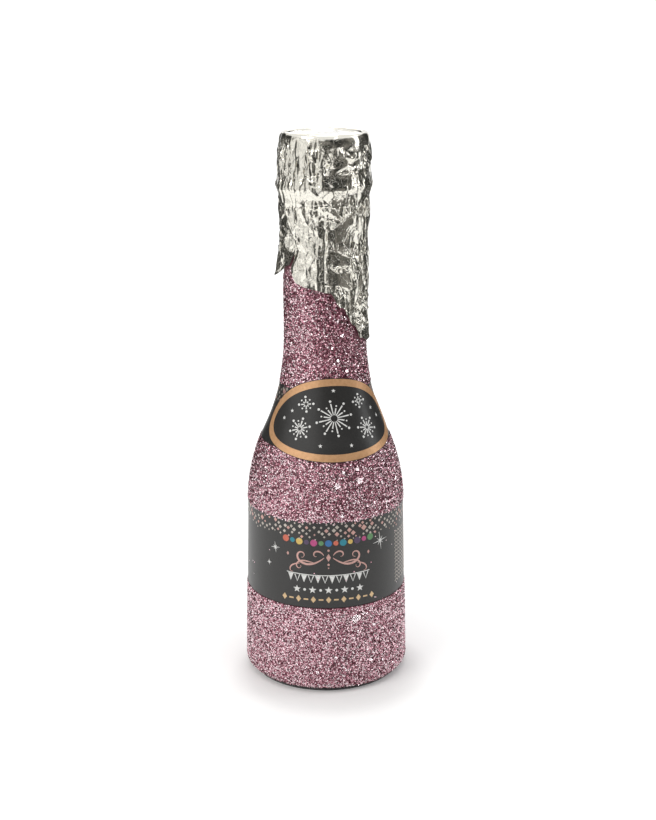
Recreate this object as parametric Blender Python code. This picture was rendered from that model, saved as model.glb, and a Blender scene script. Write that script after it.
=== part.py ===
"""A confetti popper in the shape of a small champagne bottle, coated in pink glitter.

The bottle is a hollow plastic shell around a straight launch barrel. A sprung plunger sits at the
foot of the barrel, hooked under a steel washer by a split catch. The glittered lower part of the
bottle twists a quarter turn; the oval socket inside it squeezes the catch, the catch slips through
the washer, and the spring throws the plunger, the wad and the confetti up the barrel and out
through the card seal and foil at the mouth.

Lengths are in metres, +Z is up, and the origin is the middle of the foot ring on the table.
"""

import math

import bmesh
import bpy
from mathutils import Matrix, Vector

# Fits
CLEARANCE = 0.0003  # between pieces that touch or slide on the real object
SNAP_OVERLAP = 0.0007  # how far the snap bead reaches under its lip

# Outside of the glittered bottle
TOTAL_HEIGHT = 0.200
FOOT_RADIUS = 0.0275
RIM_RADIUS = 0.0284
RIM_HEIGHT = 0.0012
HEEL_RADIUS = 0.0030
BODY_RADIUS = 0.0303
SHOULDER_RADIUS = 0.0290
SHOULDER_Z = 0.0640
SHOULDER_TURN_Z = 0.0936
NECK_Z = 0.1284
NECK_RADIUS = 0.0148
BEAD_Z = 0.1795
BEAD_HEIGHT = 0.0048
BEAD_RADIUS = 0.0162
FINISH_RADIUS = 0.0151
BODY_WALL = 0.0018
NECK_WALL = 0.0013
SEAM_Z = 0.0335

# Labels and foil
LABEL_THICKNESS = 0.00025
LABEL_DROP = 0.0004
BODY_LABEL_TOP = 0.0664
LABEL_SEAM_ANGLE = math.radians(3.0)
BAND_LOW = 0.0905
BAND_HIGH = 0.1105
OVAL_HALF_WIDTH = 0.0275
OVAL_HALF_HEIGHT = 0.0150
OVAL_Z = 0.1018
OVAL_BORDER = 0.0026
OVAL_TURN = math.radians(9.4)
OVAL_TILT = math.radians(-0.7)
FOIL_THICKNESS = 0.0005
FOIL_PLEAT = 0.0003
FOIL_LONG_FOLD = 0.105  # height in which the folds' slant comes round once
FOIL_SHORT_FOLD = 0.070
# The foil's torn lower edge: degrees round the bottle from the front, towards +X, and the share of
# the way up from the neck's foot to the bead
FOIL_HEM = [
    (-80, 0.432),
    (-49, 0.497),
    (-35, 0.403),
    (5, 0.358),
    (21, 0.249),
    (41, 0.110),
    (51, 0.014),
    (70, -0.023),
    (105, 0.012),
    (150, 0.227),
    (215, 0.423),
]

# Launch barrel and what it holds
BARREL_WALL = 0.0008
MOUTH_CARD = 0.0009
MOUTH_CARD_SEAT = 0.0005
WAD_THICKNESS = 0.0015
STACK_LEVELS = 6
STACK_GAP = 0.0005
STACK_TURN = math.radians(25.0)
CONFETTI_COLOURS = ["pink", "gold", "blue", "green", "violet", "orange"]

# Plunger, spring and catch
SPRING_WIRE = 0.0012
SPRING_RADIUS = 0.0104
SPRING_LENGTH = 0.0343
SPRING_TURNS = 12
STEM_RADIUS = 0.0072
PISTON_HEIGHT = 0.0080
PISTON_FLOOR = 0.0025
PISTON_WALL = 0.0014
CATCH_HALF_WIDTH = 0.0046
CATCH_HALF_DEPTH = 0.0022
CATCH_SLOT = 0.0023
CATCH_BARB = 0.0030
CATCH_NOSE = 0.0075
CATCH_TONGUE = 0.0320
CATCH_ROOT = 0.0075
PIN_RADIUS = 0.0010
WASHER_THICKNESS = 0.0010
WASHER_LAP = 0.0010

# Trigger housing and twist base
HOUSING_FLOOR = 0.0025
HOUSING_COLLAR = 0.0145
HOUSING_WALL = 0.0016
HOUSING_SOCKET = 0.0120
SPIGOT_LENGTH = 0.0090
SPIGOT_WALL = 0.0016
BEAD_LIFT = 0.0010
SNAP_HEIGHT = 0.0020
CAP_WALL = 0.0014
CAP_FLOOR = 0.0016
CAP_RECESS = 0.0240
BOSS_WALL = 0.0027
CAM_WIDE_SPARE = 0.0002
CAM_NARROW = 0.0056
CAM_DEPTH = 0.0200
STOP_RADIUS = 0.0205
STOP_PEG = 0.0015
STOP_ANGLE = math.radians(200.0)
TWIST_ANGLE = math.radians(90.0)

# How finely round pieces are cut
OUTER_SIDES = 40
INNER_SIDES = 32
FOIL_SIDES = 60
SHOULDER_STEPS = 5
BEAD_STEPS = 5
BEAD_FULLNESS = 0.6  # below 1 the bead's section is fuller than a sine arch
FOIL_ROWS = 6
HEEL_STEPS = 5
SLOT_STEPS = 12
PIN_SIDES = 16
SPRING_POINTS = 9
OVAL_SIDES = 60
OVAL_RINGS = 7

MATERIALS = {
    "pink_glitter": ((0.78, 0.40, 0.52), 0.35, 0.7),
    "black_plastic": ((0.02, 0.02, 0.02), 0.45, 0.0),
    "white_plastic": ((0.80, 0.80, 0.78), 0.45, 0.0),
    "black_label": ((0.03, 0.03, 0.03), 0.25, 0.0),
    "gold_print": ((0.76, 0.50, 0.28), 0.35, 0.6),
    "silver_foil": ((0.85, 0.84, 0.80), 0.15, 1.0),
    "spring_steel": ((0.55, 0.55, 0.56), 0.30, 1.0),
    "card": ((0.72, 0.66, 0.55), 0.90, 0.0),
    "nylon": ((0.90, 0.88, 0.82), 0.50, 0.0),
    "tissue_pink": ((0.90, 0.25, 0.50), 0.90, 0.0),
    "tissue_gold": ((0.90, 0.68, 0.20), 0.90, 0.0),
    "tissue_blue": ((0.12, 0.42, 0.80), 0.90, 0.0),
    "tissue_green": ((0.25, 0.65, 0.25), 0.90, 0.0),
    "tissue_violet": ((0.38, 0.22, 0.60), 0.90, 0.0),
    "tissue_orange": ((0.92, 0.42, 0.12), 0.90, 0.0),
}


# Heights that follow from the sizes above
SHELL_TOP = TOTAL_HEIGHT - FOIL_THICKNESS - CLEARANCE
SHELL_LOW = SEAM_Z + CLEARANCE
SLEEVE_LOW = RIM_HEIGHT + CLEARANCE
HOUSING_FLOOR_TOP = SHELL_LOW - 2 * CLEARANCE - WASHER_THICKNESS - CLEARANCE
HOUSING_FLOOR_LOW = HOUSING_FLOOR_TOP - HOUSING_FLOOR
WASHER_LOW = HOUSING_FLOOR_TOP + CLEARANCE
WASHER_TOP = WASHER_LOW + WASHER_THICKNESS
BARREL_LOW = WASHER_TOP + CLEARANCE
BARREL_OUTER = NECK_RADIUS - NECK_WALL - CLEARANCE
BARREL_INNER = BARREL_OUTER - BARREL_WALL
BARREL_TOP = SHELL_TOP - MOUTH_CARD - CLEARANCE
SPRING_LOW = WASHER_TOP + CLEARANCE
SPRING_TOP = SPRING_LOW + SPRING_LENGTH
PISTON_LOW = SPRING_TOP + CLEARANCE
PISTON_TOP = PISTON_LOW + PISTON_HEIGHT
PISTON_RADIUS = BARREL_INNER - CLEARANCE
WAD_LOW = PISTON_TOP + CLEARANCE
LOAD_LOW = WAD_LOW + WAD_THICKNESS + CLEARANCE
LOAD_TOP = BARREL_TOP - CLEARANCE
STEM_LOW = WASHER_TOP + CLEARANCE
BARB_TOP = WASHER_LOW - CLEARANCE
PIN_Z = BARB_TOP + CATCH_TONGUE - CATCH_ROOT / 2
WASHER_HOLE = CATCH_HALF_WIDTH + CATCH_BARB - WASHER_LAP
CAP_TOP = HOUSING_FLOOR_LOW - CLEARANCE
FOIL_MOUTH = BARREL_INNER + MOUTH_CARD_SEAT + CLEARANCE


def body_radius(z):
    """Radius of the glittered wall of the body, which narrows a little from foot to shoulder."""
    low = RIM_HEIGHT + HEEL_RADIUS
    share = (z - low) / (SHOULDER_Z - low)
    return BODY_RADIUS + (SHOULDER_RADIUS - BODY_RADIUS) * max(0.0, share)


def shoulder_radius(z, low_radius, high_radius):
    """Radius at height z of the shoulder: an outward arc that runs into an inward arc."""
    drop = low_radius - high_radius
    slope = 2.0 * math.atan(drop / (NECK_Z - SHOULDER_Z))
    if z <= SHOULDER_TURN_Z:
        bend = (SHOULDER_TURN_Z - SHOULDER_Z) / math.sin(slope)
        return low_radius - bend * (1.0 - math.cos(math.asin((z - SHOULDER_Z) / bend)))
    bend = (NECK_Z - SHOULDER_TURN_Z) / math.sin(slope)
    return high_radius + bend * (1.0 - math.cos(math.asin((NECK_Z - z) / bend)))


def outer_radius(z):
    """Radius of the glitter's surface at height z, from the heel to the neck."""
    if z < SHOULDER_Z:
        return body_radius(z)
    if z < NECK_Z:
        return shoulder_radius(z, SHOULDER_RADIUS, NECK_RADIUS)
    return NECK_RADIUS


def inner_radius(z):
    """Radius of the shell's inner wall at height z."""
    if z < SHOULDER_Z:
        return body_radius(z) - BODY_WALL
    if z < NECK_Z:
        return shoulder_radius(z, SHOULDER_RADIUS - BODY_WALL, NECK_RADIUS - NECK_WALL)
    return NECK_RADIUS - NECK_WALL


def between(low, high, steps):
    """Heights from low to high, both included."""
    return [low + (high - low) * i / steps for i in range(steps + 1)]


def bead_section(offset):
    """The neck's bead as (radius, height) points, low to high, moved outwards by offset."""
    points = []
    for height in between(0.0, 1.0, BEAD_STEPS):
        low_side = FINISH_RADIUS if height > 0.5 else NECK_RADIUS
        swell = math.sin(math.pi * height) ** BEAD_FULLNESS
        radius = low_side + (BEAD_RADIUS - low_side) * swell
        points.append((radius + offset, BEAD_Z + BEAD_HEIGHT * height))
    return points


def material(name):
    """The named finish, made once."""
    found = bpy.data.materials.get(name)
    if found:
        return found
    colour, roughness, metallic = MATERIALS[name]
    made = bpy.data.materials.new(name)
    made.use_nodes = True
    shader = made.node_tree.nodes["Principled BSDF"]
    shader.inputs["Base Color"].default_value = (*colour, 1.0)
    shader.inputs["Roughness"].default_value = roughness
    shader.inputs["Metallic"].default_value = metallic
    return made


def finished(name, mesh, finish, parent=None):
    """Turns a bmesh into a named object, shaded smooth except at sharp corners."""
    bmesh.ops.recalc_face_normals(mesh, faces=mesh.faces)
    data = bpy.data.meshes.new(name)
    mesh.to_mesh(data)
    mesh.free()
    data.shade_smooth()
    data.set_sharp_from_angle(angle=math.radians(35.0))
    data.materials.append(material(finish))
    made = bpy.data.objects.new(name, data)
    bpy.context.scene.collection.objects.link(made)
    if parent:
        made.parent = parent
    return made


def turned(name, section, finish, sides, parent=None):
    """Spins a closed (radius, height) section about Z."""
    mesh = bmesh.new()
    corners = [mesh.verts.new((radius, 0.0, height)) for radius, height in section]
    loop = [mesh.edges.new((a, b)) for a, b in zip(corners, corners[1:] + corners[:1])]
    bmesh.ops.spin(
        mesh,
        geom=corners + loop,
        cent=(0.0, 0.0, 0.0),
        axis=(0.0, 0.0, 1.0),
        angle=2.0 * math.pi,
        steps=sides,
        use_merge=True,
    )
    bmesh.ops.remove_doubles(mesh, verts=mesh.verts, dist=1e-6)
    stray = [edge for edge in mesh.edges if not edge.link_faces]
    bmesh.ops.delete(mesh, geom=stray, context="EDGES")
    return finished(name, mesh, finish, parent)


def swept(name, section, angles, closed, finish, parent=None):
    """Joins the closed sections at each angle round Z; section(angle) gives (radius, height) points."""
    mesh = bmesh.new()
    rings = []
    for angle in angles:
        east, north = math.sin(angle), -math.cos(angle)
        rings.append([mesh.verts.new((r * east, r * north, z)) for r, z in section(angle)])
    pairs = list(zip(rings, rings[1:]))
    if closed:
        pairs.append((rings[-1], rings[0]))
    else:
        mesh.faces.new(rings[0])
        mesh.faces.new(rings[-1])
    count = len(rings[0])
    for here, there in pairs:
        for i in range(count):
            j = (i + 1) % count
            mesh.faces.new((here[i], there[i], there[j], here[j]))
    return finished(name, mesh, finish, parent)


def box(name, low, high, finish, parent=None):
    """A block between two corners."""
    mesh = bmesh.new()
    bmesh.ops.create_cube(mesh, size=1.0)
    low, high = Vector(low), Vector(high)
    place = Matrix.Translation((low + high) / 2.0) @ Matrix.Diagonal((*(high - low), 1.0))
    bmesh.ops.transform(mesh, matrix=place, verts=mesh.verts)
    return finished(name, mesh, finish, parent)


def rod(name, radius, length, centre, turn, finish, sides, squeeze=1.0):
    """A straight round bar, or an oval one if squeeze isn't 1, about Z before turn is applied."""
    mesh = bmesh.new()
    bmesh.ops.create_cone(
        mesh, cap_ends=True, segments=sides, radius1=radius, radius2=radius, depth=length
    )
    shape = Matrix.Translation(centre) @ turn @ Matrix.Diagonal((1.0, squeeze, 1.0, 1.0))
    bmesh.ops.transform(mesh, matrix=shape, verts=mesh.verts)
    return finished(name, mesh, finish)


def cut(piece, cutter):
    """Takes the cutter's space out of the piece."""
    combine(piece, cutter, "DIFFERENCE")


def combine(piece, helper, operation):
    """Adds a Boolean with a helper, which then shows only as a wire."""
    helper.hide_render = True
    helper.display_type = "WIRE"
    boolean = piece.modifiers.new(helper.name, "BOOLEAN")
    boolean.operation = operation
    boolean.solver = "EXACT"
    boolean.object = helper


def make_bottle_shell(parent):
    """The glittered plastic bottle above the twist seam, with seats for the two wrapped labels."""
    seat = LABEL_DROP + LABEL_THICKNESS + CLEARANCE
    label_top = BODY_LABEL_TOP + CLEARANCE
    band_low, band_high = BAND_LOW - CLEARANCE, BAND_HIGH + CLEARANCE
    outside = [(body_radius(SHELL_LOW) - seat, SHELL_LOW)]
    outside.append((outer_radius(label_top) - seat, label_top))
    outside += [(outer_radius(z), z) for z in between(label_top, band_low, SHOULDER_STEPS)]
    outside += [(outer_radius(z) - seat, z) for z in between(band_low, band_high, SHOULDER_STEPS)]
    outside += [(outer_radius(z), z) for z in between(band_high, NECK_Z, SHOULDER_STEPS)]
    outside += bead_section(0.0)
    outside.append((FINISH_RADIUS, SHELL_TOP))
    inside = [(inner_radius(NECK_Z), SHELL_TOP)]
    heights = between(SHOULDER_Z, NECK_Z, 2 * SHOULDER_STEPS)
    inside += [(inner_radius(z), z) for z in reversed(heights)]
    inside.append((inner_radius(SHELL_LOW), SHELL_LOW))
    return turned("bottle_shell", outside + inside, "pink_glitter", OUTER_SIDES, parent)


def label_strip(name, low, high, steps, parent):
    """A printed paper strip wrapped round the bottle, its ends meeting at the back."""
    heights = between(low, high, steps)

    def section(_angle):
        outside = [(outer_radius(z) - LABEL_DROP, z) for z in heights]
        inside = [(outer_radius(z) - LABEL_DROP - LABEL_THICKNESS, z) for z in reversed(heights)]
        return outside + inside

    start = -math.pi + LABEL_SEAM_ANGLE / 2.0
    angles = between(start, start + 2.0 * math.pi - LABEL_SEAM_ANGLE, OUTER_SIDES)
    return swept(name, section, angles, False, "black_label", parent)


def make_label_strips(parent):
    """The wide label on the body and the narrow band behind the oval label."""
    label_strip("body_label", SHELL_LOW + CLEARANCE, BODY_LABEL_TOP, 2, parent)
    label_strip("shoulder_band", BAND_LOW, BAND_HIGH, SHOULDER_STEPS, parent)


def oval_place(across, up, offset):
    """Where a point of the flat oval label lies once it is wrapped round the shoulder's cone."""
    tilt_cos, tilt_sin = math.cos(OVAL_TILT), math.sin(OVAL_TILT)
    across, up = across * tilt_cos - up * tilt_sin, across * tilt_sin + up * tilt_cos
    reach = OVAL_HALF_HEIGHT / 2.0
    fall = outer_radius(OVAL_Z - reach) - outer_radius(OVAL_Z + reach)
    lean = math.atan(fall / (2.0 * reach))
    apex = outer_radius(OVAL_Z) / math.sin(lean)
    distance = math.hypot(across, apex - up)
    angle = math.atan2(across, apex - up) / math.sin(lean) + OVAL_TURN
    height = OVAL_Z + (apex - distance) * math.cos(lean)
    radius = outer_radius(height) + offset
    return Vector((radius * math.sin(angle), -radius * math.cos(angle), height))


def oval_edge(turn, inset):
    """A point of the oval's outline, inset from its edge, on the flat label."""
    return math.cos(turn) * (OVAL_HALF_WIDTH - inset), math.sin(turn) * (OVAL_HALF_HEIGHT - inset)


def oval_layer(mesh, offset, insets, middle):
    """Rings of points of one face of the oval label, from its edge inwards."""
    rings = []
    for inset in insets:
        turns = [2.0 * math.pi * i / OVAL_SIDES for i in range(OVAL_SIDES)]
        edge = [oval_edge(turn, inset) for turn in turns]
        rings.append([mesh.verts.new(oval_place(a, u, offset)) for a, u in edge])
    if middle:
        outline = [oval_edge(2.0 * math.pi * i / OVAL_SIDES, insets[-1]) for i in range(OVAL_SIDES)]
        for share in between(1.0, 0.0, OVAL_RINGS)[1:-1]:
            rings.append([mesh.verts.new(oval_place(a * share, u * share, offset)) for a, u in outline])
        rings.append([mesh.verts.new(oval_place(0.0, 0.0, offset))])
    return rings


def oval_sheet(name, outset, insets, middle, finish, parent):
    """A curved sheet in the oval's outline: a disc if middle is true, else a ring."""
    mesh = bmesh.new()
    lower = oval_layer(mesh, outset, insets, middle)
    upper = oval_layer(mesh, outset + LABEL_THICKNESS, insets, middle)
    for layer in (lower, upper):
        for outer, inner in zip(layer, layer[1:]):
            for i in range(OVAL_SIDES):
                j = (i + 1) % OVAL_SIDES
                if len(inner) == 1:
                    mesh.faces.new((outer[i], outer[j], inner[0]))
                else:
                    mesh.faces.new((outer[i], outer[j], inner[j], inner[i]))
    rims = [(lower[0], upper[0])]
    if not middle:
        rims.append((lower[-1], upper[-1]))
    for low, high in rims:
        for i in range(OVAL_SIDES):
            j = (i + 1) % OVAL_SIDES
            mesh.faces.new((low[i], low[j], high[j], high[i]))
    return finished(name, mesh, finish, parent)


def make_neck_labels(parent):
    """The black oval label on the shoulder and the gold border round it, over the glitter."""
    oval_sheet(
        "neck_label", CLEARANCE, [OVAL_BORDER + CLEARANCE], True, "black_label", parent
    )
    oval_sheet("neck_label_border", CLEARANCE, [0.0, OVAL_BORDER], False, "gold_print", parent)


def hem_height(angle):
    """Height of the foil's lower edge at an angle from the front."""
    degrees = (math.degrees(angle) - FOIL_HEM[0][0]) % 360.0 + FOIL_HEM[0][0]
    around = FOIL_HEM + [(FOIL_HEM[0][0] + 360.0, FOIL_HEM[0][1])]
    up = around[-1][1]
    for (start, low), (end, high) in zip(around, around[1:]):
        if start <= degrees <= end:
            share = (degrees - start) / (end - start)
            up = low + (high - low) * share * share * (3.0 - 2.0 * share)
            break
    return NECK_Z + (BEAD_Z - NECK_Z) * up


def pleat(angle, height):
    """How far the foil's folds stand out, which fades towards the bead."""
    fade = min(1.0, max(0.0, (BEAD_Z - height) / (BEAD_Z - NECK_Z)))
    up = 2.0 * math.pi * height
    wave = math.sin(17.0 * angle + up / FOIL_LONG_FOLD) + math.sin(9.0 * angle - up / FOIL_SHORT_FOLD)
    return FOIL_PLEAT * fade * (1.0 + 0.5 * wave)


def make_neck_foil(parent):
    """Foil pressed round the neck and bead and folded in over the mouth's lip."""

    def section(angle):
        hem = hem_height(angle)
        lift = CLEARANCE + FOIL_THICKNESS
        straight = between(hem, BEAD_Z, FOIL_ROWS)[:-1]
        outside = [(outer_radius(z) + lift + pleat(angle, z), z) for z in straight]
        outside += bead_section(lift)
        outside.append((FINISH_RADIUS + lift, TOTAL_HEIGHT - FOIL_THICKNESS))
        outside.append((FINISH_RADIUS + CLEARANCE, TOTAL_HEIGHT))
        outside.append((FOIL_MOUTH, TOTAL_HEIGHT))
        inside = [(FOIL_MOUTH, TOTAL_HEIGHT - FOIL_THICKNESS)]
        inside.append((FINISH_RADIUS + CLEARANCE, TOTAL_HEIGHT - FOIL_THICKNESS))
        inside += list(reversed(bead_section(CLEARANCE)))
        inside += [(outer_radius(z) + CLEARANCE, z) for z in reversed(straight)]
        return outside + inside

    angles = [2.0 * math.pi * i / FOIL_SIDES for i in range(FOIL_SIDES)]
    return swept("neck_foil", section, angles, True, "silver_foil", parent)


def disc_section(radius, low, high):
    """Section of a plain disc."""
    return [(0.0, low), (radius, low), (radius, high), (0.0, high)]


def tube_section(inner, outer, low, high):
    """Section of a plain tube."""
    return [(inner, low), (outer, low), (outer, high), (inner, high)]


def make_mouth_seal(parent):
    """The card disc that closes the barrel and the disc of foil that tears out above it."""
    card_radius = BARREL_INNER + MOUTH_CARD_SEAT
    low = BARREL_TOP + CLEARANCE
    card = disc_section(card_radius, low, low + MOUTH_CARD)
    turned("mouth_disc", card, "card", INNER_SIDES, parent)
    foil = disc_section(FOIL_MOUTH - CLEARANCE, TOTAL_HEIGHT - FOIL_THICKNESS, TOTAL_HEIGHT)
    turned("foil_top", foil, "silver_foil", INNER_SIDES, parent)


def make_barrel(parent):
    """The straight tube that guides the shot, from the washer to the mouth."""
    wall = tube_section(BARREL_INNER, BARREL_OUTER, BARREL_LOW, BARREL_TOP)
    turned("launch_barrel", wall, "white_plastic", INNER_SIDES, parent)


def make_trigger_housing(parent):
    """The moulding glued in the shell's open end: collar, floor, barrel socket and snap spigot."""
    catch_hole = CATCH_HALF_WIDTH + CATCH_BARB + 4.0 * CLEARANCE
    collar_top = HOUSING_FLOOR_TOP + HOUSING_COLLAR
    socket_inner = BARREL_OUTER + CLEARANCE
    socket_outer = socket_inner + HOUSING_WALL
    rim_low = inner_radius(SHELL_LOW) - CLEARANCE
    rim_high = inner_radius(collar_top) - CLEARANCE
    spigot_outer = cap_inner() - CLEARANCE - SNAP_OVERLAP - CLEARANCE
    spigot_inner = spigot_outer - SPIGOT_WALL
    spigot_low = HOUSING_FLOOR_LOW - SPIGOT_LENGTH
    bead_low = spigot_low + BEAD_LIFT
    bead_outer = cap_inner() - CLEARANCE
    section = [
        (catch_hole, HOUSING_FLOOR_LOW),
        (spigot_inner, HOUSING_FLOOR_LOW),
        (spigot_inner, spigot_low),
        (spigot_outer, spigot_low),
        (bead_outer, bead_low),
        (bead_outer, bead_low + SNAP_HEIGHT),
        (spigot_outer, bead_low + SNAP_HEIGHT),
        (spigot_outer, HOUSING_FLOOR_LOW),
        (rim_low, HOUSING_FLOOR_LOW),
        (rim_low, SHELL_LOW),
        (rim_high, collar_top),
        (rim_high - HOUSING_WALL, collar_top),
        (rim_high - HOUSING_WALL, HOUSING_FLOOR_TOP),
        (socket_outer, HOUSING_FLOOR_TOP),
        (socket_outer, HOUSING_FLOOR_TOP + HOUSING_SOCKET),
        (socket_inner, HOUSING_FLOOR_TOP + HOUSING_SOCKET),
        (socket_inner, HOUSING_FLOOR_TOP),
        (catch_hole, HOUSING_FLOOR_TOP),
    ]
    housing = turned("trigger_housing", section, "white_plastic", OUTER_SIDES, parent)
    slack = (STOP_PEG + CLEARANCE) / STOP_RADIUS
    peg_room = STOP_PEG + CLEARANCE
    past = HOUSING_FLOOR

    def slot(_angle):
        low, high = HOUSING_FLOOR_LOW - past, HOUSING_FLOOR_TOP + past
        return tube_section(STOP_RADIUS - peg_room, STOP_RADIUS + peg_room, low, high)

    angles = between(STOP_ANGLE - slack, STOP_ANGLE + TWIST_ANGLE + slack, SLOT_STEPS)
    cut(housing, swept("stop_slot_cutter", slot, angles, False, "white_plastic"))


def cap_inner():
    """Inner radius of the base cap's wall."""
    return inner_radius(CAP_TOP) - CLEARANCE - CAP_WALL


def make_twist_sleeve(parent):
    """The glittered ring below the seam, which the hand twists."""
    heel_top = RIM_HEIGHT + HEEL_RADIUS
    outside = []
    for turn in between(0.0, math.pi / 2.0, HEEL_STEPS):
        height = heel_top - (heel_top - SLEEVE_LOW) * math.cos(turn)
        reach = math.sqrt(max(0.0, 1.0 - ((heel_top - height) / HEEL_RADIUS) ** 2))
        outside.append((BODY_RADIUS - HEEL_RADIUS * (1.0 - reach), height))
    outside.append((body_radius(SEAM_Z), SEAM_Z))
    inside = [(inner_radius(SEAM_Z), SEAM_Z), (inner_radius(heel_top), heel_top)]
    inside.append((RIM_RADIUS - 2.0 * CLEARANCE, SLEEVE_LOW))
    turned("twist_sleeve", outside + inside, "pink_glitter", OUTER_SIDES, parent)


def make_base_cap(parent):
    """The black base inside the sleeve: foot ring, snap lip, cam socket and stop peg."""
    floor_top = RIM_HEIGHT + CAP_FLOOR
    heel_top = RIM_HEIGHT + HEEL_RADIUS
    wall_low = RIM_RADIUS - 3.0 * CLEARANCE
    wall_heel = inner_radius(heel_top) - CLEARANCE
    wall_top = inner_radius(CAP_TOP) - CLEARANCE
    lip_inner = cap_inner() - SNAP_OVERLAP
    lip_low = HOUSING_FLOOR_LOW - SPIGOT_LENGTH + BEAD_LIFT + SNAP_HEIGHT + CLEARANCE
    cam_wide = CATCH_HALF_WIDTH + CATCH_BARB + CAM_WIDE_SPARE
    boss = cam_wide + BOSS_WALL
    section = [
        (0.0, RIM_HEIGHT),
        (CAP_RECESS, RIM_HEIGHT),
        (CAP_RECESS, 0.0),
        (FOOT_RADIUS, 0.0),
        (RIM_RADIUS, RIM_HEIGHT),
        (wall_low, RIM_HEIGHT),
        (wall_low, SLEEVE_LOW),
        (wall_heel, heel_top),
        (wall_top, CAP_TOP),
        (cap_inner(), CAP_TOP),
        (cap_inner(), lip_low + SNAP_HEIGHT),
        (lip_inner, lip_low + SNAP_HEIGHT),
        (lip_inner, lip_low),
        (cap_inner(), lip_low),
        (cap_inner(), floor_top),
        (boss, floor_top),
        (boss, CAP_TOP),
        (0.0, CAP_TOP),
    ]
    cap = turned("base_cap", section, "black_plastic", OUTER_SIDES, parent)
    cam_middle = (0.0, 0.0, CAP_TOP)
    socket = rod(
        "cam_cutter", cam_wide, 2.0 * CAM_DEPTH, cam_middle, Matrix(), "black_plastic",
        INNER_SIDES, CAM_NARROW / cam_wide,
    )
    cut(cap, socket)
    peg_top = HOUSING_FLOOR_TOP - CLEARANCE
    peg_low = floor_top - CAP_FLOOR / 2.0
    place = (
        STOP_RADIUS * math.sin(STOP_ANGLE),
        -STOP_RADIUS * math.cos(STOP_ANGLE),
        (peg_top + peg_low) / 2.0,
    )
    peg = rod("stop_peg", STOP_PEG, peg_top - peg_low, place, Matrix(), "black_plastic", PIN_SIDES)
    combine(cap, peg, "UNION")


def make_keeper_washer(parent):
    """The steel washer that the catch hooks under and the spring stands on."""
    outer = BARREL_OUTER
    ring = tube_section(WASHER_HOLE, outer, WASHER_LOW, WASHER_TOP)
    turned("keeper_washer", ring, "spring_steel", INNER_SIDES, parent)


def make_plunger(parent):
    """The piston and its stem, hollow at the lower end for the catch."""
    section = [
        (0.0, STEM_LOW),
        (STEM_RADIUS, STEM_LOW),
        (STEM_RADIUS, PISTON_LOW),
        (PISTON_RADIUS, PISTON_LOW),
        (PISTON_RADIUS, PISTON_TOP),
        (PISTON_RADIUS - PISTON_WALL, PISTON_TOP),
        (PISTON_RADIUS - PISTON_WALL, PISTON_LOW + PISTON_FLOOR),
        (0.0, PISTON_LOW + PISTON_FLOOR),
    ]
    plunger = turned("plunger", section, "white_plastic", INNER_SIDES, parent)
    half_x, half_y = CATCH_HALF_WIDTH + CLEARANCE, CATCH_HALF_DEPTH + CLEARANCE
    pocket_top = BARB_TOP + CATCH_TONGUE + CLEARANCE
    low, high = (-half_x, -half_y, WASHER_LOW), (half_x, half_y, pocket_top)
    cut(plunger, box("pocket_cutter", low, high, "white_plastic"))
    across = Matrix.Rotation(math.radians(90.0), 4, "X")
    hole = rod(
        "pin_hole_cutter", PIN_RADIUS + CLEARANCE, 4.0 * STEM_RADIUS, (0.0, 0.0, PIN_Z),
        across, "white_plastic", PIN_SIDES,
    )
    cut(plunger, hole)


def make_release_catch(parent):
    """The split nylon catch: two springy fingers whose barbs hook under the washer."""
    top = BARB_TOP + CATCH_TONGUE
    root = top - CATCH_ROOT
    nose = BARB_TOP - CATCH_NOSE
    half = [
        (CATCH_HALF_WIDTH, top),
        (CATCH_HALF_WIDTH, BARB_TOP),
        (CATCH_HALF_WIDTH + CATCH_BARB, BARB_TOP),
        (CATCH_HALF_WIDTH, nose),
        (CATCH_SLOT, nose),
        (CATCH_SLOT, root),
    ]
    outline = half + [(-x, z) for x, z in reversed(half)]
    mesh = bmesh.new()
    face = mesh.faces.new([mesh.verts.new((x, -CATCH_HALF_DEPTH, z)) for x, z in outline])
    made = bmesh.ops.extrude_face_region(mesh, geom=[face])
    moved = [item for item in made["geom"] if isinstance(item, bmesh.types.BMVert)]
    bmesh.ops.translate(mesh, vec=(0.0, 2.0 * CATCH_HALF_DEPTH, 0.0), verts=moved)
    catch = finished("release_catch", mesh, "nylon", parent)
    across = Matrix.Rotation(math.radians(90.0), 4, "X")
    hole = rod(
        "catch_hole_cutter", PIN_RADIUS + CLEARANCE, 4.0 * CATCH_HALF_DEPTH, (0.0, 0.0, PIN_Z),
        across, "nylon", PIN_SIDES,
    )
    cut(catch, hole)
    length = 2.0 * (STEM_RADIUS - CLEARANCE)
    pin = rod("catch_pin", PIN_RADIUS, length, (0.0, 0.0, PIN_Z), across, "spring_steel", PIN_SIDES)
    pin.parent = parent


def spring_points():
    """The middle line of the launch spring, one unbroken coil."""
    steps = SPRING_TURNS * SPRING_POINTS
    low, high = SPRING_LOW + SPRING_WIRE / 2.0, SPRING_TOP - SPRING_WIRE / 2.0
    points = []
    for i in range(steps + 1):
        turn = 2.0 * math.pi * SPRING_TURNS * i / steps
        height = low + (high - low) * i / steps
        points.append(Vector((SPRING_RADIUS * math.cos(turn), SPRING_RADIUS * math.sin(turn), height)))
    return points


def least_gap(points):
    """The least space between one turn of the spring and the next."""
    return min((b - a).length for a, b in zip(points, points[SPRING_POINTS:])) - SPRING_WIRE


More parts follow.
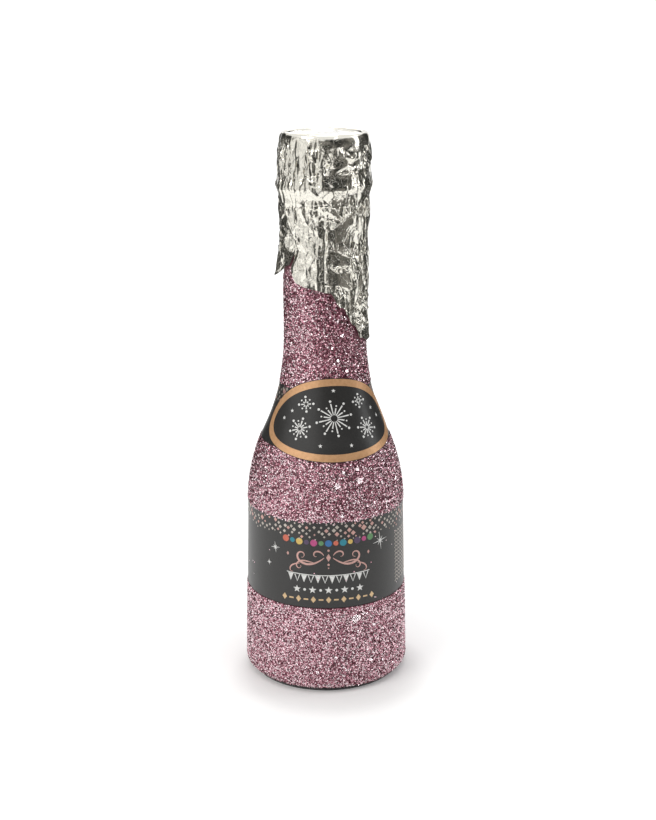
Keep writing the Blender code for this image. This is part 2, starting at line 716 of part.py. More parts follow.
def make_spring(parent):
    """The launch spring, squeezed between the washer and the piston."""
    points = spring_points()
    print(f"least gap between the spring's turns: {least_gap(points) * 1000:.2f} mm")
    curve = bpy.data.curves.new("launch_spring", "CURVE")
    curve.dimensions = "3D"
    curve.bevel_depth = SPRING_WIRE / 2.0
    curve.bevel_resolution = 1
    curve.use_fill_caps = True
    line = curve.splines.new("POLY")
    line.points.add(len(points) - 1)
    for point, place in zip(line.points, points):
        point.co = (*place, 1.0)
    curve.materials.append(material("spring_steel"))
    spring = bpy.data.objects.new("launch_spring", curve)
    bpy.context.scene.collection.objects.link(spring)
    spring.parent = parent


def make_confetti(parent):
    """The card wad and the stacks of cut tissue above it, two side by side on each level."""
    wad = disc_section(PISTON_RADIUS, WAD_LOW, WAD_LOW + WAD_THICKNESS)
    turned("wad_disc", wad, "card", INNER_SIDES, parent)
    side = (BARREL_INNER - CLEARANCE) * math.sqrt(2.0)
    half = (side - STACK_GAP) / 2.0
    level_height = (LOAD_TOP - LOAD_LOW + CLEARANCE) / STACK_LEVELS
    for i in range(2 * STACK_LEVELS):
        level, hand = divmod(i, 2)
        colour = CONFETTI_COLOURS[i % len(CONFETTI_COLOURS)]
        low = LOAD_LOW + level * level_height
        near, far = ((-side / 2.0, STACK_GAP / 2.0), (side / 2.0, STACK_GAP / 2.0 + half))
        name = f"confetti_{colour}_{1 + i // len(CONFETTI_COLOURS)}"
        stack = box(
            name, (*near, low), (*far, low + level_height - CLEARANCE), f"tissue_{colour}", parent
        )
        stack.rotation_euler.z = STACK_TURN * level + math.pi * hand


def empty(name, parent=None):
    """A group that moves as one."""
    made = bpy.data.objects.new(name, None)
    bpy.context.scene.collection.objects.link(made)
    made.parent = parent
    return made


def make_popper():
    """Builds every piece, grouped by what moves together."""
    for old in list(bpy.data.objects):
        bpy.data.objects.remove(old)
    bottle = empty("bottle")
    twist = empty("twist_base", bottle)
    shot = empty("plunger_assembly", bottle)
    load = empty("confetti_load", shot)
    seal = empty("mouth_seal", load)
    make_bottle_shell(bottle)
    make_label_strips(bottle)
    make_neck_labels(bottle)
    make_neck_foil(bottle)
    make_barrel(bottle)
    make_trigger_housing(bottle)
    make_keeper_washer(bottle)
    make_spring(bottle)
    make_twist_sleeve(twist)
    make_base_cap(twist)
    make_plunger(shot)
    make_release_catch(shot)
    make_confetti(load)
    make_mouth_seal(seal)


make_popper()
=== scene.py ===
# %% [markdown]
# # A confetti popper shaped like a small sparkling-wine bottle
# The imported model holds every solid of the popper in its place. This lesson gives it the look of the
# real one: plastic walls under a coat of loose glitter flakes, two printed paper labels and an oval
# one, and a sheet of thin foil crushed round the neck. Each piece is built at its real size, in
# metres, straight on top of the solid that it dresses, so nothing has to be fitted afterwards.

import math

import bmesh
import bpy
import numpy as np
from mathutils import Matrix, Vector


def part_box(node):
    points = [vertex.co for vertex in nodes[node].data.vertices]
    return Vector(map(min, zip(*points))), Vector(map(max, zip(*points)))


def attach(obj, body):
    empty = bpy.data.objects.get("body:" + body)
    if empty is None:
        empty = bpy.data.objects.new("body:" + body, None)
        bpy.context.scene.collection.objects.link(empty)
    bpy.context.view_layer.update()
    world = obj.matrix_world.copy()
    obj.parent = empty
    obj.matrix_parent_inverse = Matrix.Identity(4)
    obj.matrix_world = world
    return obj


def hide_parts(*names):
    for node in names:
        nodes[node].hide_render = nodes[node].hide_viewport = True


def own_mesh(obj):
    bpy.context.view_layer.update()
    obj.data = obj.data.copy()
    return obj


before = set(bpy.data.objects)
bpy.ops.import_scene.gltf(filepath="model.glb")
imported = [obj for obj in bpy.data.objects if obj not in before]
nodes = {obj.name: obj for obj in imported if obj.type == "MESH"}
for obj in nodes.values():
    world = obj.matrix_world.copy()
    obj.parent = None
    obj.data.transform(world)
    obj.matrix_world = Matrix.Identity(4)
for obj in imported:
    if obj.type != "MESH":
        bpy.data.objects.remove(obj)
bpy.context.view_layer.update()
MM = 0.001
scene = bpy.context.scene

# %% [markdown]
# ## The camera
# The photograph was taken from a little above, about half a metre away, with the bottle near the
# middle of the picture. The pitch comes from how round the base and the label edges look, and the
# distance from how much narrower the far end is than a flat drawing would have it.

# %% Set the camera
IMAGE_LONG_SIDE = 820
FOCAL_PIXELS = 1506
SENSOR_WIDTH = 36.0
CAMERA_PLACE = (1.0 * MM, -528.4 * MM, 259.1 * MM)
CAMERA_PITCH = math.radians(16.805)
CAMERA_ROLL = math.radians(-0.195)

lens = bpy.data.cameras.new("camera")
lens.sensor_width = SENSOR_WIDTH
lens.lens = FOCAL_PIXELS / IMAGE_LONG_SIDE * SENSOR_WIDTH
camera = bpy.data.objects.new("camera", lens)
scene.collection.objects.link(camera)
aim = Matrix.Rotation(math.pi / 2 - CAMERA_PITCH, 4, "X") @ Matrix.Rotation(CAMERA_ROLL, 4, "Z")
camera.matrix_world = Matrix.Translation(CAMERA_PLACE) @ aim
scene.camera = camera
scene.view_settings.view_transform = "Standard"
print("lens in mm:", round(lens.lens, 2))

# %% [markdown]
# ## Helpers for node materials
# Every finish starts from one Principled shader. A number that is the same all over goes straight on
# the shader's own socket. Only what changes from place to place, such as mottled colour or fine
# bumps, gets nodes.

# %% Node helpers
def finish(name, colour, roughness, metallic=0.0, specular=0.5):
    """A new node material with these plain values."""
    made = bpy.data.materials.new(name)
    made.use_nodes = True
    shader = made.node_tree.nodes["Principled BSDF"]
    shader.inputs["Base Color"].default_value = (*colour, 1.0)
    shader.inputs["Roughness"].default_value = roughness
    shader.inputs["Metallic"].default_value = metallic
    shader.inputs["Specular IOR Level"].default_value = specular
    print("finish:", name)
    return made


def node(owner, kind, **values):
    """Adds a node to a material or world and sets its attributes and sockets."""
    made = owner.node_tree.nodes.new("ShaderNode" + kind)
    for key, value in values.items():
        if key in made.inputs:
            made.inputs[key].default_value = value
        else:
            setattr(made, key, value)
    return made


def join(owner, start, end):
    """Links one socket to another."""
    owner.node_tree.links.new(start, end)


def shader_of(material):
    """The material's Principled shader."""
    return material.node_tree.nodes["Principled BSDF"]


def maths(owner, kind, operation, *inputs):
    """A Math or VectorMath result; each input is a socket to link or a plain value."""
    made = node(owner, kind, operation=operation)
    for socket, value in zip(made.inputs, inputs):
        if isinstance(value, bpy.types.NodeSocket):
            join(owner, value, socket)
        else:
            socket.default_value = value
    return made.outputs["Value" if operation in ("LENGTH", "DOT_PRODUCT") else 0]


def remap(owner, value, start, end, low, high):
    """Turns the range start to end into the range low to high."""
    made = node(owner, "MapRange")
    for name, number in zip(("From Min", "From Max", "To Min", "To Max"), (start, end, low, high)):
        made.inputs[name].default_value = number
    join(owner, value, made.inputs["Value"])
    return made.outputs["Result"]


def stretched(material, stretch):
    """The object's own coordinates, stretched."""
    squeeze = node(material, "Mapping", Scale=stretch)
    join(material, node(material, "TexCoord").outputs["Object"], squeeze.inputs["Vector"])
    return squeeze.outputs["Vector"]


def grain(material, scale, detail=3.0, roughness=0.6, stretch=(1.0, 1.0, 1.0)):
    """Noise over the object's own coordinates, with this many waves a metre."""
    noise = node(material, "TexNoise", Scale=scale, Detail=detail, Roughness=roughness)
    join(material, stretched(material, stretch), noise.inputs["Vector"])
    return noise.outputs["Fac"]


def ramp(owner, factor, stops):
    """Colours laid along a factor; stops are (place, colour)."""
    made = node(owner, "ValToRGB")
    line = made.color_ramp
    while len(line.elements) < len(stops):
        line.elements.new(0.5)
    for element, (place, colour) in zip(line.elements, stops):
        element.position = place
        element.color = (*colour, 1.0)
    join(owner, factor, made.inputs["Fac"])
    return made.outputs["Color"]


def mottle(material, factor, *stops, socket="Base Color"):
    """Colours the shader along a factor."""
    join(material, ramp(material, factor, stops), shader_of(material).inputs[socket])


def bump(material, height, distance, strength=1.0):
    """Fine relief on the shader, this many metres deep where the height is 1."""
    made = node(material, "Bump", Distance=distance, Strength=strength)
    last = shader_of(material).inputs["Normal"]
    if last.is_linked:
        join(material, last.links[0].from_socket, made.inputs["Normal"])
    join(material, height, made.inputs["Height"])
    join(material, made.outputs["Normal"], last)


print("node helpers ready")

# %% [markdown]
# ## The world
# The bottle stands in a white room. The room shows as white to the camera and in reflections, while
# the light that it throws on the bottle stays at a plain level. A light path node tells the two
# kinds of ray apart, so the background can be bright without washing the pink out.

# %% White world
WHITE = (1.0, 1.0, 1.0)
WORLD_LIGHT = 0.50


def seen_directly(owner):
    """1 for rays from the camera or off gloss or through glass, 0 for the rest."""
    path = node(owner, "LightPath")
    total = path.outputs["Is Camera Ray"]
    for other in ("Is Glossy Ray", "Is Transmission Ray"):
        total = maths(owner, "Math", "MAXIMUM", total, path.outputs[other])
    return total


world = bpy.data.worlds.new("studio")
world.use_nodes = True
scene.world = world
background = world.node_tree.nodes["Background"]
background.inputs["Color"].default_value = (*WHITE, 1.0)
level = remap(world, seen_directly(world), 0.0, 1.0, WORLD_LIGHT, 1.0)
join(world, level, background.inputs["Strength"])
print("world light:", WORLD_LIGHT)

# %% [markdown]
# ## The floor
# A paper sweep under a bottle looks white with a soft shadow close to the base. Light alone would
# leave the whole sweep grey, so a part of its white is its own glow. That glow is made smaller near
# the bottle, round a middle a little in front of it, which paints a soft shadow there on top of the
# one that the lamps cast.

# %% Pale floor
FLOOR_RADIUS = 14.0
# Painted shadow: the floor's own glow is least round this point, a little in front of the bottle, and grows
# with distance from it.
PAINTED_SHADOW_MIDDLE = (0.002, -0.010, 0.0)
LIFT_REACH = 2.0
FLOOR_GLOW_WITH_PAINTED_SHADOW = [
    (0.000, 0.12), (0.024, 0.12), (0.031, 0.18), (0.037, 0.33), (0.044, 0.37), (0.070, 0.43), (0.25, 0.475),
    (1.0, 0.70), (2.0, 0.82),
]  # how much of the floor's white is its own, by distance in metres; light gives the rest


def studio_piece(name, mesh, material):
    """An object of the studio, from a bmesh."""
    data = bpy.data.meshes.new(name)
    mesh.to_mesh(data)
    mesh.free()
    data.materials.append(material)
    made = bpy.data.objects.new(name, data)
    scene.collection.objects.link(made)
    return made


sweep = finish("white_sweep", (0.82, 0.82, 0.815), 1.0, specular=0.0)
place = node(sweep, "TexCoord").outputs["Object"]
away = maths(sweep, "VectorMath", "LENGTH", maths(sweep, "VectorMath", "SUBTRACT", place, PAINTED_SHADOW_MIDDLE))
share = maths(sweep, "Math", "MULTIPLY", away, 1.0 / LIFT_REACH)
# The floor's own glow, ramped by distance, paints the soft shadow near the bottle.
lift = ramp(sweep, share, [(distance / LIFT_REACH, (white,) * 3) for distance, white in FLOOR_GLOW_WITH_PAINTED_SHADOW])
own = node(sweep, "Emission", Color=(*WHITE, 1.0))
join(sweep, maths(sweep, "Math", "MULTIPLY", seen_directly(sweep), lift), own.inputs["Strength"])
both = node(sweep, "AddShader")
join(sweep, shader_of(sweep).outputs[0], both.inputs[0])
join(sweep, own.outputs[0], both.inputs[1])
join(sweep, both.outputs[0], sweep.node_tree.nodes["Material Output"].inputs["Surface"])

mesh = bmesh.new()
bmesh.ops.create_circle(mesh, cap_ends=True, radius=FLOOR_RADIUS, segments=96)
floor = studio_piece("floor", mesh, sweep)
print("floor radius in m:", FLOOR_RADIUS)

# %% [markdown]
# ## The lamps
# Four large soft lamps give the bottle its plain light: one as a window at the left, one overhead,
# and weaker ones at the right and behind. A fifth is tiny. It adds next to no light, and is there to
# be mirrored by single flakes of glitter, which is what a sharp glint is.

# %% Soft lamps
LAMP_AIM = 0.1  # metres above the floor
GLINT_PLACE = (38, 40, 0.8)


def studio_place(azimuth, elevation, distance):
    """A point round the bottle: degrees from the front towards +X, degrees up, metres away."""
    around, up = math.radians(azimuth), math.radians(elevation)
    return Vector((
        distance * math.cos(up) * math.sin(around),
        -distance * math.cos(up) * math.cos(around),
        LAMP_AIM + distance * math.sin(up),
    ))


def lamp(name, azimuth, elevation, distance, size, power, colour=WHITE):
    """A rectangular soft light that faces the bottle."""
    light = bpy.data.lights.new(name, "AREA")
    light.shape = "RECTANGLE"
    light.size, light.size_y = size
    light.energy = power
    light.color = colour
    made = bpy.data.objects.new(name, light)
    scene.collection.objects.link(made)
    place = studio_place(azimuth, elevation, distance)
    made.location = place
    made.rotation_euler = (Vector((0, 0, LAMP_AIM)) - place).to_track_quat("-Z", "Y").to_euler()
    print(name, "radiance:", round(power / (math.pi * size[0] * size[1]), 2))


lamp("window", -48, 30, 0.95, (0.50, 0.50), 3.0, (1.0, 0.985, 0.95))
lamp("overhead", 20, 78, 0.95, (0.7, 0.5), 1.6)
lamp("right_fill", 95, 22, 1.0, (0.28, 0.6), 1.3, (0.97, 0.98, 1.0))
lamp("back_fill", 180, 38, 1.1, (0.6, 0.4), 2.0)
lamp("glint", *GLINT_PLACE, (0.035, 0.035), 0.16)

# %% [markdown]
# ## The cards
# Metal shows only what it mirrors, so an all-white room would make foil and glitter look like white
# paint. Studios stand black and pale cards round such an object, and their edges become the dark
# bands and streaks in the foil. These cards are cylinders cut short, mottled as a cluttered room
# would be, and they show in reflections alone.

# %% Black and pale cards
card_black = finish("card_black", (0.055, 0.055, 0.052), 0.9, specular=0.1)
mottle(card_black, grain(card_black, 7.0, 1.0),
       (0.38, (0.040, 0.041, 0.039)), (0.52, (0.085, 0.085, 0.080)), (0.66, (0.27, 0.26, 0.24)))

card_pale = finish("card_pale", (0.1, 0.1, 0.1), 0.9, specular=0.1)
mottle(card_pale, grain(card_pale, 22.0, 1.0),
       (0.38, (0.17, 0.165, 0.15)), (0.44, (0.70, 0.69, 0.655)), (0.51, WHITE), socket="Emission Color")
shader_of(card_pale).inputs["Emission Strength"].default_value = 1.0

CARD_STRIPS = 24
CARDS = {
    "card_right": (4, 80, 0.26, 0.0, 0.31, card_black),
    "card_far_right": (96, 150, 0.30, 0.0, 0.34, card_black),
    "card_left": (-156, -110, 0.30, 0.0, 0.36, card_black),
    "card_left_high": (-110, -84, 0.30, 0.082, 0.36, card_black),
    "card_front_low": (-28, 6, 0.26, 0.0, 0.074, card_black),
    "card_front_mid": (-10, 6, 0.26, 0.074, 0.11, card_black),
    "card_front_high": (-12, 4, 0.27, 0.11, 0.27, card_black),
    "card_soft": (-84, -6, 0.34, 0.06, 0.36, card_pale),
}  # first and last degree from the front, distance, low and high in metres, finish


def card(name, start, end, distance, low, high, paint):
    """A curved card from one azimuth to another; reflections alone show it."""
    mesh = bmesh.new()
    rings = []
    for azimuth in np.linspace(start, end, CARD_STRIPS):
        around = math.radians(azimuth)
        east, north = distance * math.sin(around), -distance * math.cos(around)
        rings.append([mesh.verts.new((east, north, z)) for z in (low, high)])
    for here, there in zip(rings, rings[1:]):
        mesh.faces.new((here[0], there[0], there[1], here[1]))
    made = studio_piece(name, mesh, paint)
    made.visible_camera = False
    made.visible_diffuse = False
    made.visible_shadow = False
    made.visible_transmission = False
    made.visible_volume_scatter = False


for name, shape in CARDS.items():
    card(name, *shape)
print("cards:", len(CARDS))

# %% [markdown]
# ## The bottle's profile
# The shoulder is two arcs that meet in one slope: one bends out of the body, the other into the
# neck. The glitter, the labels and the foil all follow this curve, so it comes first, as one
# function of height.

# %% Profile of the bottle
RIM_HEIGHT = 1.2 * MM
HEEL_RADIUS = 3.0 * MM
HEEL_TOP = RIM_HEIGHT + HEEL_RADIUS
BODY_RADIUS = 30.3 * MM
SHOULDER_RADIUS = 29.0 * MM
NECK_RADIUS = 14.8 * MM
SHOULDER_Z = 64.0 * MM
SHOULDER_TURN_Z = 93.6 * MM
NECK_Z = 128.4 * MM
BEAD_Z = 179.5 * MM
BEAD_HEIGHT = 4.8 * MM
BEAD_RADIUS = 16.2 * MM
FINISH_RADIUS = 15.1 * MM
SHELL_LOW = 33.8 * MM
SHELL_TOP = 199.2 * MM
SEAM_Z = 33.5 * MM
SLEEVE_LOW = 1.5 * MM
BODY_WALL = 1.8 * MM
NECK_WALL = 1.3 * MM


def arc_radius(z, low, high):
    """Radius along the shoulder's two arcs, from low at its foot to high at the neck."""
    slope = 2.0 * math.atan((low - high) / (NECK_Z - SHOULDER_Z))
    lower_bend = (SHOULDER_TURN_Z - SHOULDER_Z) / math.sin(slope)
    upper_bend = (NECK_Z - SHOULDER_TURN_Z) / math.sin(slope)
    up = np.clip(z - SHOULDER_Z, 0.0, lower_bend)
    down = np.clip(NECK_Z - z, 0.0, upper_bend)
    lower = low - lower_bend + np.sqrt(lower_bend**2 - up**2)
    upper = high + upper_bend - np.sqrt(upper_bend**2 - down**2)
    return np.where(z <= SHOULDER_TURN_Z, lower, upper)


def outer_radius(z):
    """Radius of the glitter's surface at height z, heel to neck."""
    z = np.asarray(z, float)
    share = np.clip((z - HEEL_TOP) / (SHOULDER_Z - HEEL_TOP), 0.0, None)
    body = BODY_RADIUS + (SHOULDER_RADIUS - BODY_RADIUS) * share
    heel = np.clip((HEEL_TOP - z) / HEEL_RADIUS, 0.0, 1.0)
    body = body - HEEL_RADIUS * (1.0 - np.sqrt(1.0 - heel**2))
    shoulder = arc_radius(z, SHOULDER_RADIUS, NECK_RADIUS)
    return np.where(z < SHOULDER_Z, body, np.where(z < NECK_Z, shoulder, NECK_RADIUS))


def inner_radius(z):
    """Radius of the inside of the wall."""
    z = np.asarray(z, float)
    neck = NECK_RADIUS - NECK_WALL
    shoulder = arc_radius(z, SHOULDER_RADIUS - BODY_WALL, neck)
    return np.where(z < SHOULDER_Z, outer_radius(z) - BODY_WALL, np.where(z < NECK_Z, shoulder, neck))


for height in (20, 66, 100, 140):
    print("height", height, "radius", round(float(outer_radius(height * MM)) / MM, 2))

# %% [markdown]
# ## Meshes from arrays
# The pieces here have tens of thousands of faces, so their points are worked out all at once with
# numpy and handed to Blender in one go. Turned walls, thin sheets and discs are all grids of points,
# so one helper numbers the faces of any grid, round or open.

# %% Mesh helpers
def put(name, points, faces, material, body, slot, smooth=True):
    """Makes a piece from an array of points and an array or list of faces, riding on a body."""
    points = np.asarray(points, np.float32)
    data = bpy.data.meshes.new(name)
    if isinstance(faces, np.ndarray):
        count, corners = faces.shape
        data.vertices.add(len(points))
        data.vertices.foreach_set("co", points.ravel())
        data.loops.add(count * corners)
        data.loops.foreach_set("vertex_index", faces.astype(np.int32).ravel())
        data.polygons.add(count)
        data.polygons.foreach_set("loop_start", np.arange(0, count * corners, corners, dtype=np.int32))
        data.update(calc_edges=True)
    else:
        data.from_pydata([tuple(p) for p in points.tolist()], [], faces)
    data.validate()
    if smooth:
        data.shade_smooth()
        data.set_sharp_from_angle(angle=math.radians(40.0))
    data.materials.append(material)
    made = bpy.data.objects.new(name, data)
    scene.collection.objects.link(made)
    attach(made, body)
    print(name, "faces:", len(data.polygons), "points:", len(data.vertices))
    return made


def round_points(radius, angle, height):
    """Points from radius, angle from the front towards +X, and height."""
    radius, angle, height = np.broadcast_arrays(radius, angle, height)
    return np.stack([radius * np.sin(angle), -radius * np.cos(angle), height], axis=-1)


def rotated(x, y, turn):
    """A flat point turned about the middle."""
    return x * math.cos(turn) - y * math.sin(turn), x * math.sin(turn) + y * math.cos(turn)


def grid(columns, rows, round_columns=False, round_rows=False):
    """Faces of a grid whose point in column i and row j has the number i * rows + j."""
    i, j = np.arange(columns - (not round_columns)), np.arange(rows - (not round_rows))
    i, j = np.meshgrid(i, j, indexing="ij")
    right, up = (i + 1) % columns, (j + 1) % rows
    corners = [i * rows + j, right * rows + j, right * rows + up, i * rows + up]
    return np.stack(corners, axis=-1).reshape(-1, 4)


def turned(section, sides):
    """Points and faces of a closed section (radius, height) spun about Z."""
    section = np.asarray(section)
    around = np.linspace(0.0, 2.0 * math.pi, sides, endpoint=False)
    points = round_points(section[None, :, 0], around[:, None], section[None, :, 1]).reshape(-1, 3)
    return points, grid(sides, len(section), True, True)


def sheet(outer, inner, columns, rows):
    """Points and faces of a thin closed sheet, from its two sides as columns of rows."""
    count = columns * rows
    front = grid(columns, rows)
    low, start = np.arange(columns - 1) * rows, np.arange(rows - 1)
    high, end = low + rows - 1, start + (columns - 1) * rows
    rims = [
        (low, low + count, low + rows + count, low + rows),
        (high, high + rows, high + rows + count, high + count),
        (start, start + 1, start + 1 + count, start + count),
        (end, end + count, end + 1 + count, end + 1),
    ]
    faces = [front, front[:, ::-1] + count] + [np.stack(rim, axis=1) for rim in rims]
    return np.concatenate([outer, inner]), np.concatenate(faces)


print("mesh helpers ready")

# %% [markdown]
# ## The plastic wall and the twist sleeve
# Under the glitter is a blow-moulded wall, painted with the pink glue that holds the flakes. The
# wall sits a quarter of a millimetre inside the glitter's surface, and dips where the paper labels
# lie. A turned mesh with two hundred sides keeps its outline round at any zoom.

# %% Glue-pink plastic
glue_pink = finish("glue_pink", (0.20, 0.075, 0.11), 0.42)
specks = grain(glue_pink, 1400.0, 4.0)
mottle(glue_pink, specks,
       (0.30, (0.11, 0.030, 0.047)), (0.52, (0.24, 0.080, 0.110)), (0.74, (0.42, 0.18, 0.235)))
bump(glue_pink, specks, 0.12 * MM)

# %% Bottle wall
GLUE_DEPTH = 0.25 * MM
LABEL_SEAT = 0.45 * MM
SEAT_MARGIN = 0.1 * MM
SEAT_STEP = 0.15 * MM
LABEL_TOP = 66.4 * MM
BAND_LOW = 90.5 * MM
BAND_HIGH = 111.1 * MM
WALL_SIDES = 200


def seat_depth(z):
    """How far the wall lies inside the glitter's surface, deeper under the paper."""
    under_label = z < LABEL_TOP + SEAT_MARGIN
    under_band = (z > BAND_LOW - SEAT_MARGIN) & (z < BAND_HIGH + SEAT_MARGIN)
    return np.where(under_label | under_band, LABEL_SEAT, GLUE_DEPTH)


def bead_points(steps):
    """The ring below the mouth, as (radius, height) from low to high."""
    up = np.linspace(0.0, 1.0, steps)
    side = np.where(up > 0.5, FINISH_RADIUS, NECK_RADIUS)
    swell = np.sin(np.pi * up) ** 0.6
    return np.stack([side + (BEAD_RADIUS - side) * swell, BEAD_Z + BEAD_HEIGHT * up], axis=1)


heights = np.concatenate([
    np.linspace(SHELL_LOW, LABEL_TOP, 12),
    np.linspace(LABEL_TOP + SEAT_STEP, BAND_LOW - SEAT_STEP, 26),
    np.linspace(BAND_LOW, BAND_HIGH, 16),
    np.linspace(BAND_HIGH + SEAT_STEP, BEAD_Z - 0.5 * MM, 40),
])
outside = np.stack([outer_radius(heights) - seat_depth(heights), heights], axis=1)
inside_heights = np.linspace(NECK_Z, SHELL_LOW, 44)
wall = np.concatenate([
    outside, bead_points(14), [(FINISH_RADIUS, SHELL_TOP), (NECK_RADIUS - NECK_WALL, SHELL_TOP)],
    np.stack([inner_radius(inside_heights), inside_heights], axis=1),
])
points, faces = turned(wall, WALL_SIDES)
bottle_wall = put("bottle_wall", points, faces, glue_pink, "bottle", "pink_glitter")
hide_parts("bottle_shell")

# %% [markdown]
# The sleeve is the lower ring that the hand twists. It is the same moulding in short: a rounded heel,
# a straight side up to the seam, and a thin wall inside, spun round in the same way.

# %% Twist sleeve wall
SLEEVE_FOOT_INNER = 27.8 * MM
SLEEVE_FOOT_OUTER = 27.95 * MM

heel = np.linspace(SLEEVE_LOW, HEEL_TOP, 9)
straight = np.linspace(HEEL_TOP, SEAM_Z, 8)[1:]
heights = np.concatenate([heel, straight])
outside = np.stack([outer_radius(heights) - GLUE_DEPTH, heights], axis=1)
outside[0, 0] = max(outside[0, 0], SLEEVE_FOOT_OUTER)
inside = [(float(inner_radius(z)), z) for z in (SEAM_Z, HEEL_TOP)] + [(SLEEVE_FOOT_INNER, SLEEVE_LOW)]
points, faces = turned(np.concatenate([outside, inside]), WALL_SIDES)
sleeve_wall = put("sleeve_wall", points, faces, glue_pink, "twist_base", "pink_glitter")
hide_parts("twist_sleeve")

# %% [markdown]
# ## The glitter
# Glitter is thousands of cut hexagons of dyed, metal-coated film, each lying at its own small tilt in
# the glue. That tilt is what sparkles: neighbours mirror quite different parts of the room. A bump
# map can't do this, so every flake is a real hexagon here. Each has its own tint, kept as a colour on
# its corners, because the film's coating varies and some flakes lie half sunk in glue. The tint also
# carries painted shade on the front of the neck and a painted highlight on the glinting flakes.

# %% Where flakes lie
FLAKE_RADIUS = 0.25 * MM
FLAKE_PITCH = 0.405 * MM
FLAKE_TILT = math.radians(21.0)
FLAKE_JITTER = 0.24  # of a pitch
ROW_PITCH = 0.866  # of a flake's pitch, as in a honeycomb


def profile_rows(low, high, pitch):
    """Heights whose rows lie one pitch apart along the curve."""
    z = np.linspace(low, high, 4000)
    r = outer_radius(z)
    along = np.concatenate([[0.0], np.cumsum(np.hypot(np.diff(r), np.diff(z)))])
    return np.interp(np.arange(0.0, along[-1], pitch), along, z)


def flake_places(low, high, pitch, random):
    """Angle and height of each flake, in jittered rows."""
    angles, heights = [], []
    for z in profile_rows(low, high, pitch * ROW_PITCH):
        radius = float(outer_radius(z))
        count = int(round(2.0 * math.pi * radius / pitch))
        around = (np.arange(count) + random.random()) * 2.0 * math.pi / count - math.pi
        angles.append(around + random.normal(0.0, FLAKE_JITTER * pitch / radius, count))
        heights.append(np.clip(z + random.normal(0.0, FLAKE_JITTER * pitch, count), low, high))
    return np.concatenate(angles), np.concatenate(heights)


def unit(vectors):
    """The same directions, one long."""
    return vectors / np.linalg.norm(vectors, axis=1, keepdims=True)


def wall_axes(angle, height):
    """Outward, sideways and upward unit vectors of the wall at each place."""
    step = 0.05 * MM
    slope = (outer_radius(height + step) - outer_radius(height - step)) / (2.0 * step)
    up = unit(np.stack([slope * np.sin(angle), -slope * np.cos(angle), np.ones_like(angle)], axis=1))
    side = np.stack([np.cos(angle), np.sin(angle), np.zeros_like(angle)], axis=1)
    return np.cross(side, up), side, up


def tilted(out, side, up, tilt, random):
    """Outward directions, each tipped sideways and upwards by its own small angle."""
    lean = np.tan(random.normal(0.0, tilt, (len(out), 2)))
    return unit(out + lean[:, :1] * side + lean[:, 1:] * up)


def flake_hexagons(centre, normal, up, size, random):
    """Corners of hexagons that face along a normal, each turned at random in its own plane."""
    first = unit(np.cross(normal, up))
    second = np.cross(normal, first)
    turn = random.random(len(centre))[:, None] * math.pi / 3.0 + np.arange(6)[None, :] * math.pi / 3.0
    reach = first[:, None, :] * np.cos(turn)[..., None] + second[:, None, :] * np.sin(turn)[..., None]
    return centre[:, None, :] + size[:, None, None] * reach


print("flake area in square mm:", round(2.598 * (FLAKE_RADIUS / MM) ** 2, 3))

# %% [markdown]
# Each flake carries two things besides its shape. The tint is a colour on its six corners, which the
# film's finish reads. The bake map gives every flake a cell of its own, so that a baked picture can
# hold all their colours. Sorting them by tint puts like colours side by side in it.

# %% A mesh of flakes
def flakes_from(name, corners, tint, body, material):
    """The mesh of hexagons, each with its tint and its own cell of the bake map, sorted by tint."""
    order = np.argsort(tint)
    corners, tint = corners[order], tint[order]
    count = len(tint)
    faces = np.arange(count * 6).reshape(-1, 6)
    made = put(name, corners.reshape(-1, 3), faces, material, body, "pink_glitter", smooth=False)
    layer = made.data.color_attributes.new("flake_tint", "FLOAT_COLOR", "CORNER")
    shade = np.repeat(tint, 6)
    layer.data.foreach_set("color", np.stack([shade, shade, shade, np.ones_like(shade)], 1).ravel())
    cells = math.ceil(math.sqrt(count))
    column, row = np.arange(count) % cells, np.arange(count) // cells
    ring = np.arange(6) * math.pi / 3.0
    u = (column[:, None] + 0.5 + 0.42 * np.cos(ring)) / cells
    v = (row[:, None] + 0.5 + 0.42 * np.sin(ring)) / cells
    chart = made.data.uv_layers.new(name="OFBake")
    chart.data.foreach_set("uv", np.stack([u, v], axis=-1).ravel())
    return made


flake_film = finish("flake_film", (0.6, 0.35, 0.42), 0.24, metallic=1.0)
flake_tint = node(flake_film, "VertexColor", layer_name="flake_tint")
mottle(flake_film, flake_tint.outputs["Color"], (0.0, (0.18, 0.045, 0.070)), (0.30, (0.52, 0.215, 0.280)),
       (0.60, (0.90, 0.55, 0.625)), (1.0, (1.0, 0.85, 0.885)))
shader_of(flake_film).inputs["Coat Weight"].default_value = 0.35
shader_of(flake_film).inputs["Coat Roughness"].default_value = 0.08

# %% [markdown]
# A glint is a flake that happens to send a lamp straight to the eye. Left to chance, the few glints
# would fall anywhere, so some clusters are turned: each faces half-way between the tiny lamp and the
# viewer. A few lone flakes at the lamp's side do the same. These flakes also get the palest tint, a
# painted highlight on top of the real glint. On the front of the shoulder and neck the flakes get a
# darker tint, more so higher up: painted shade.

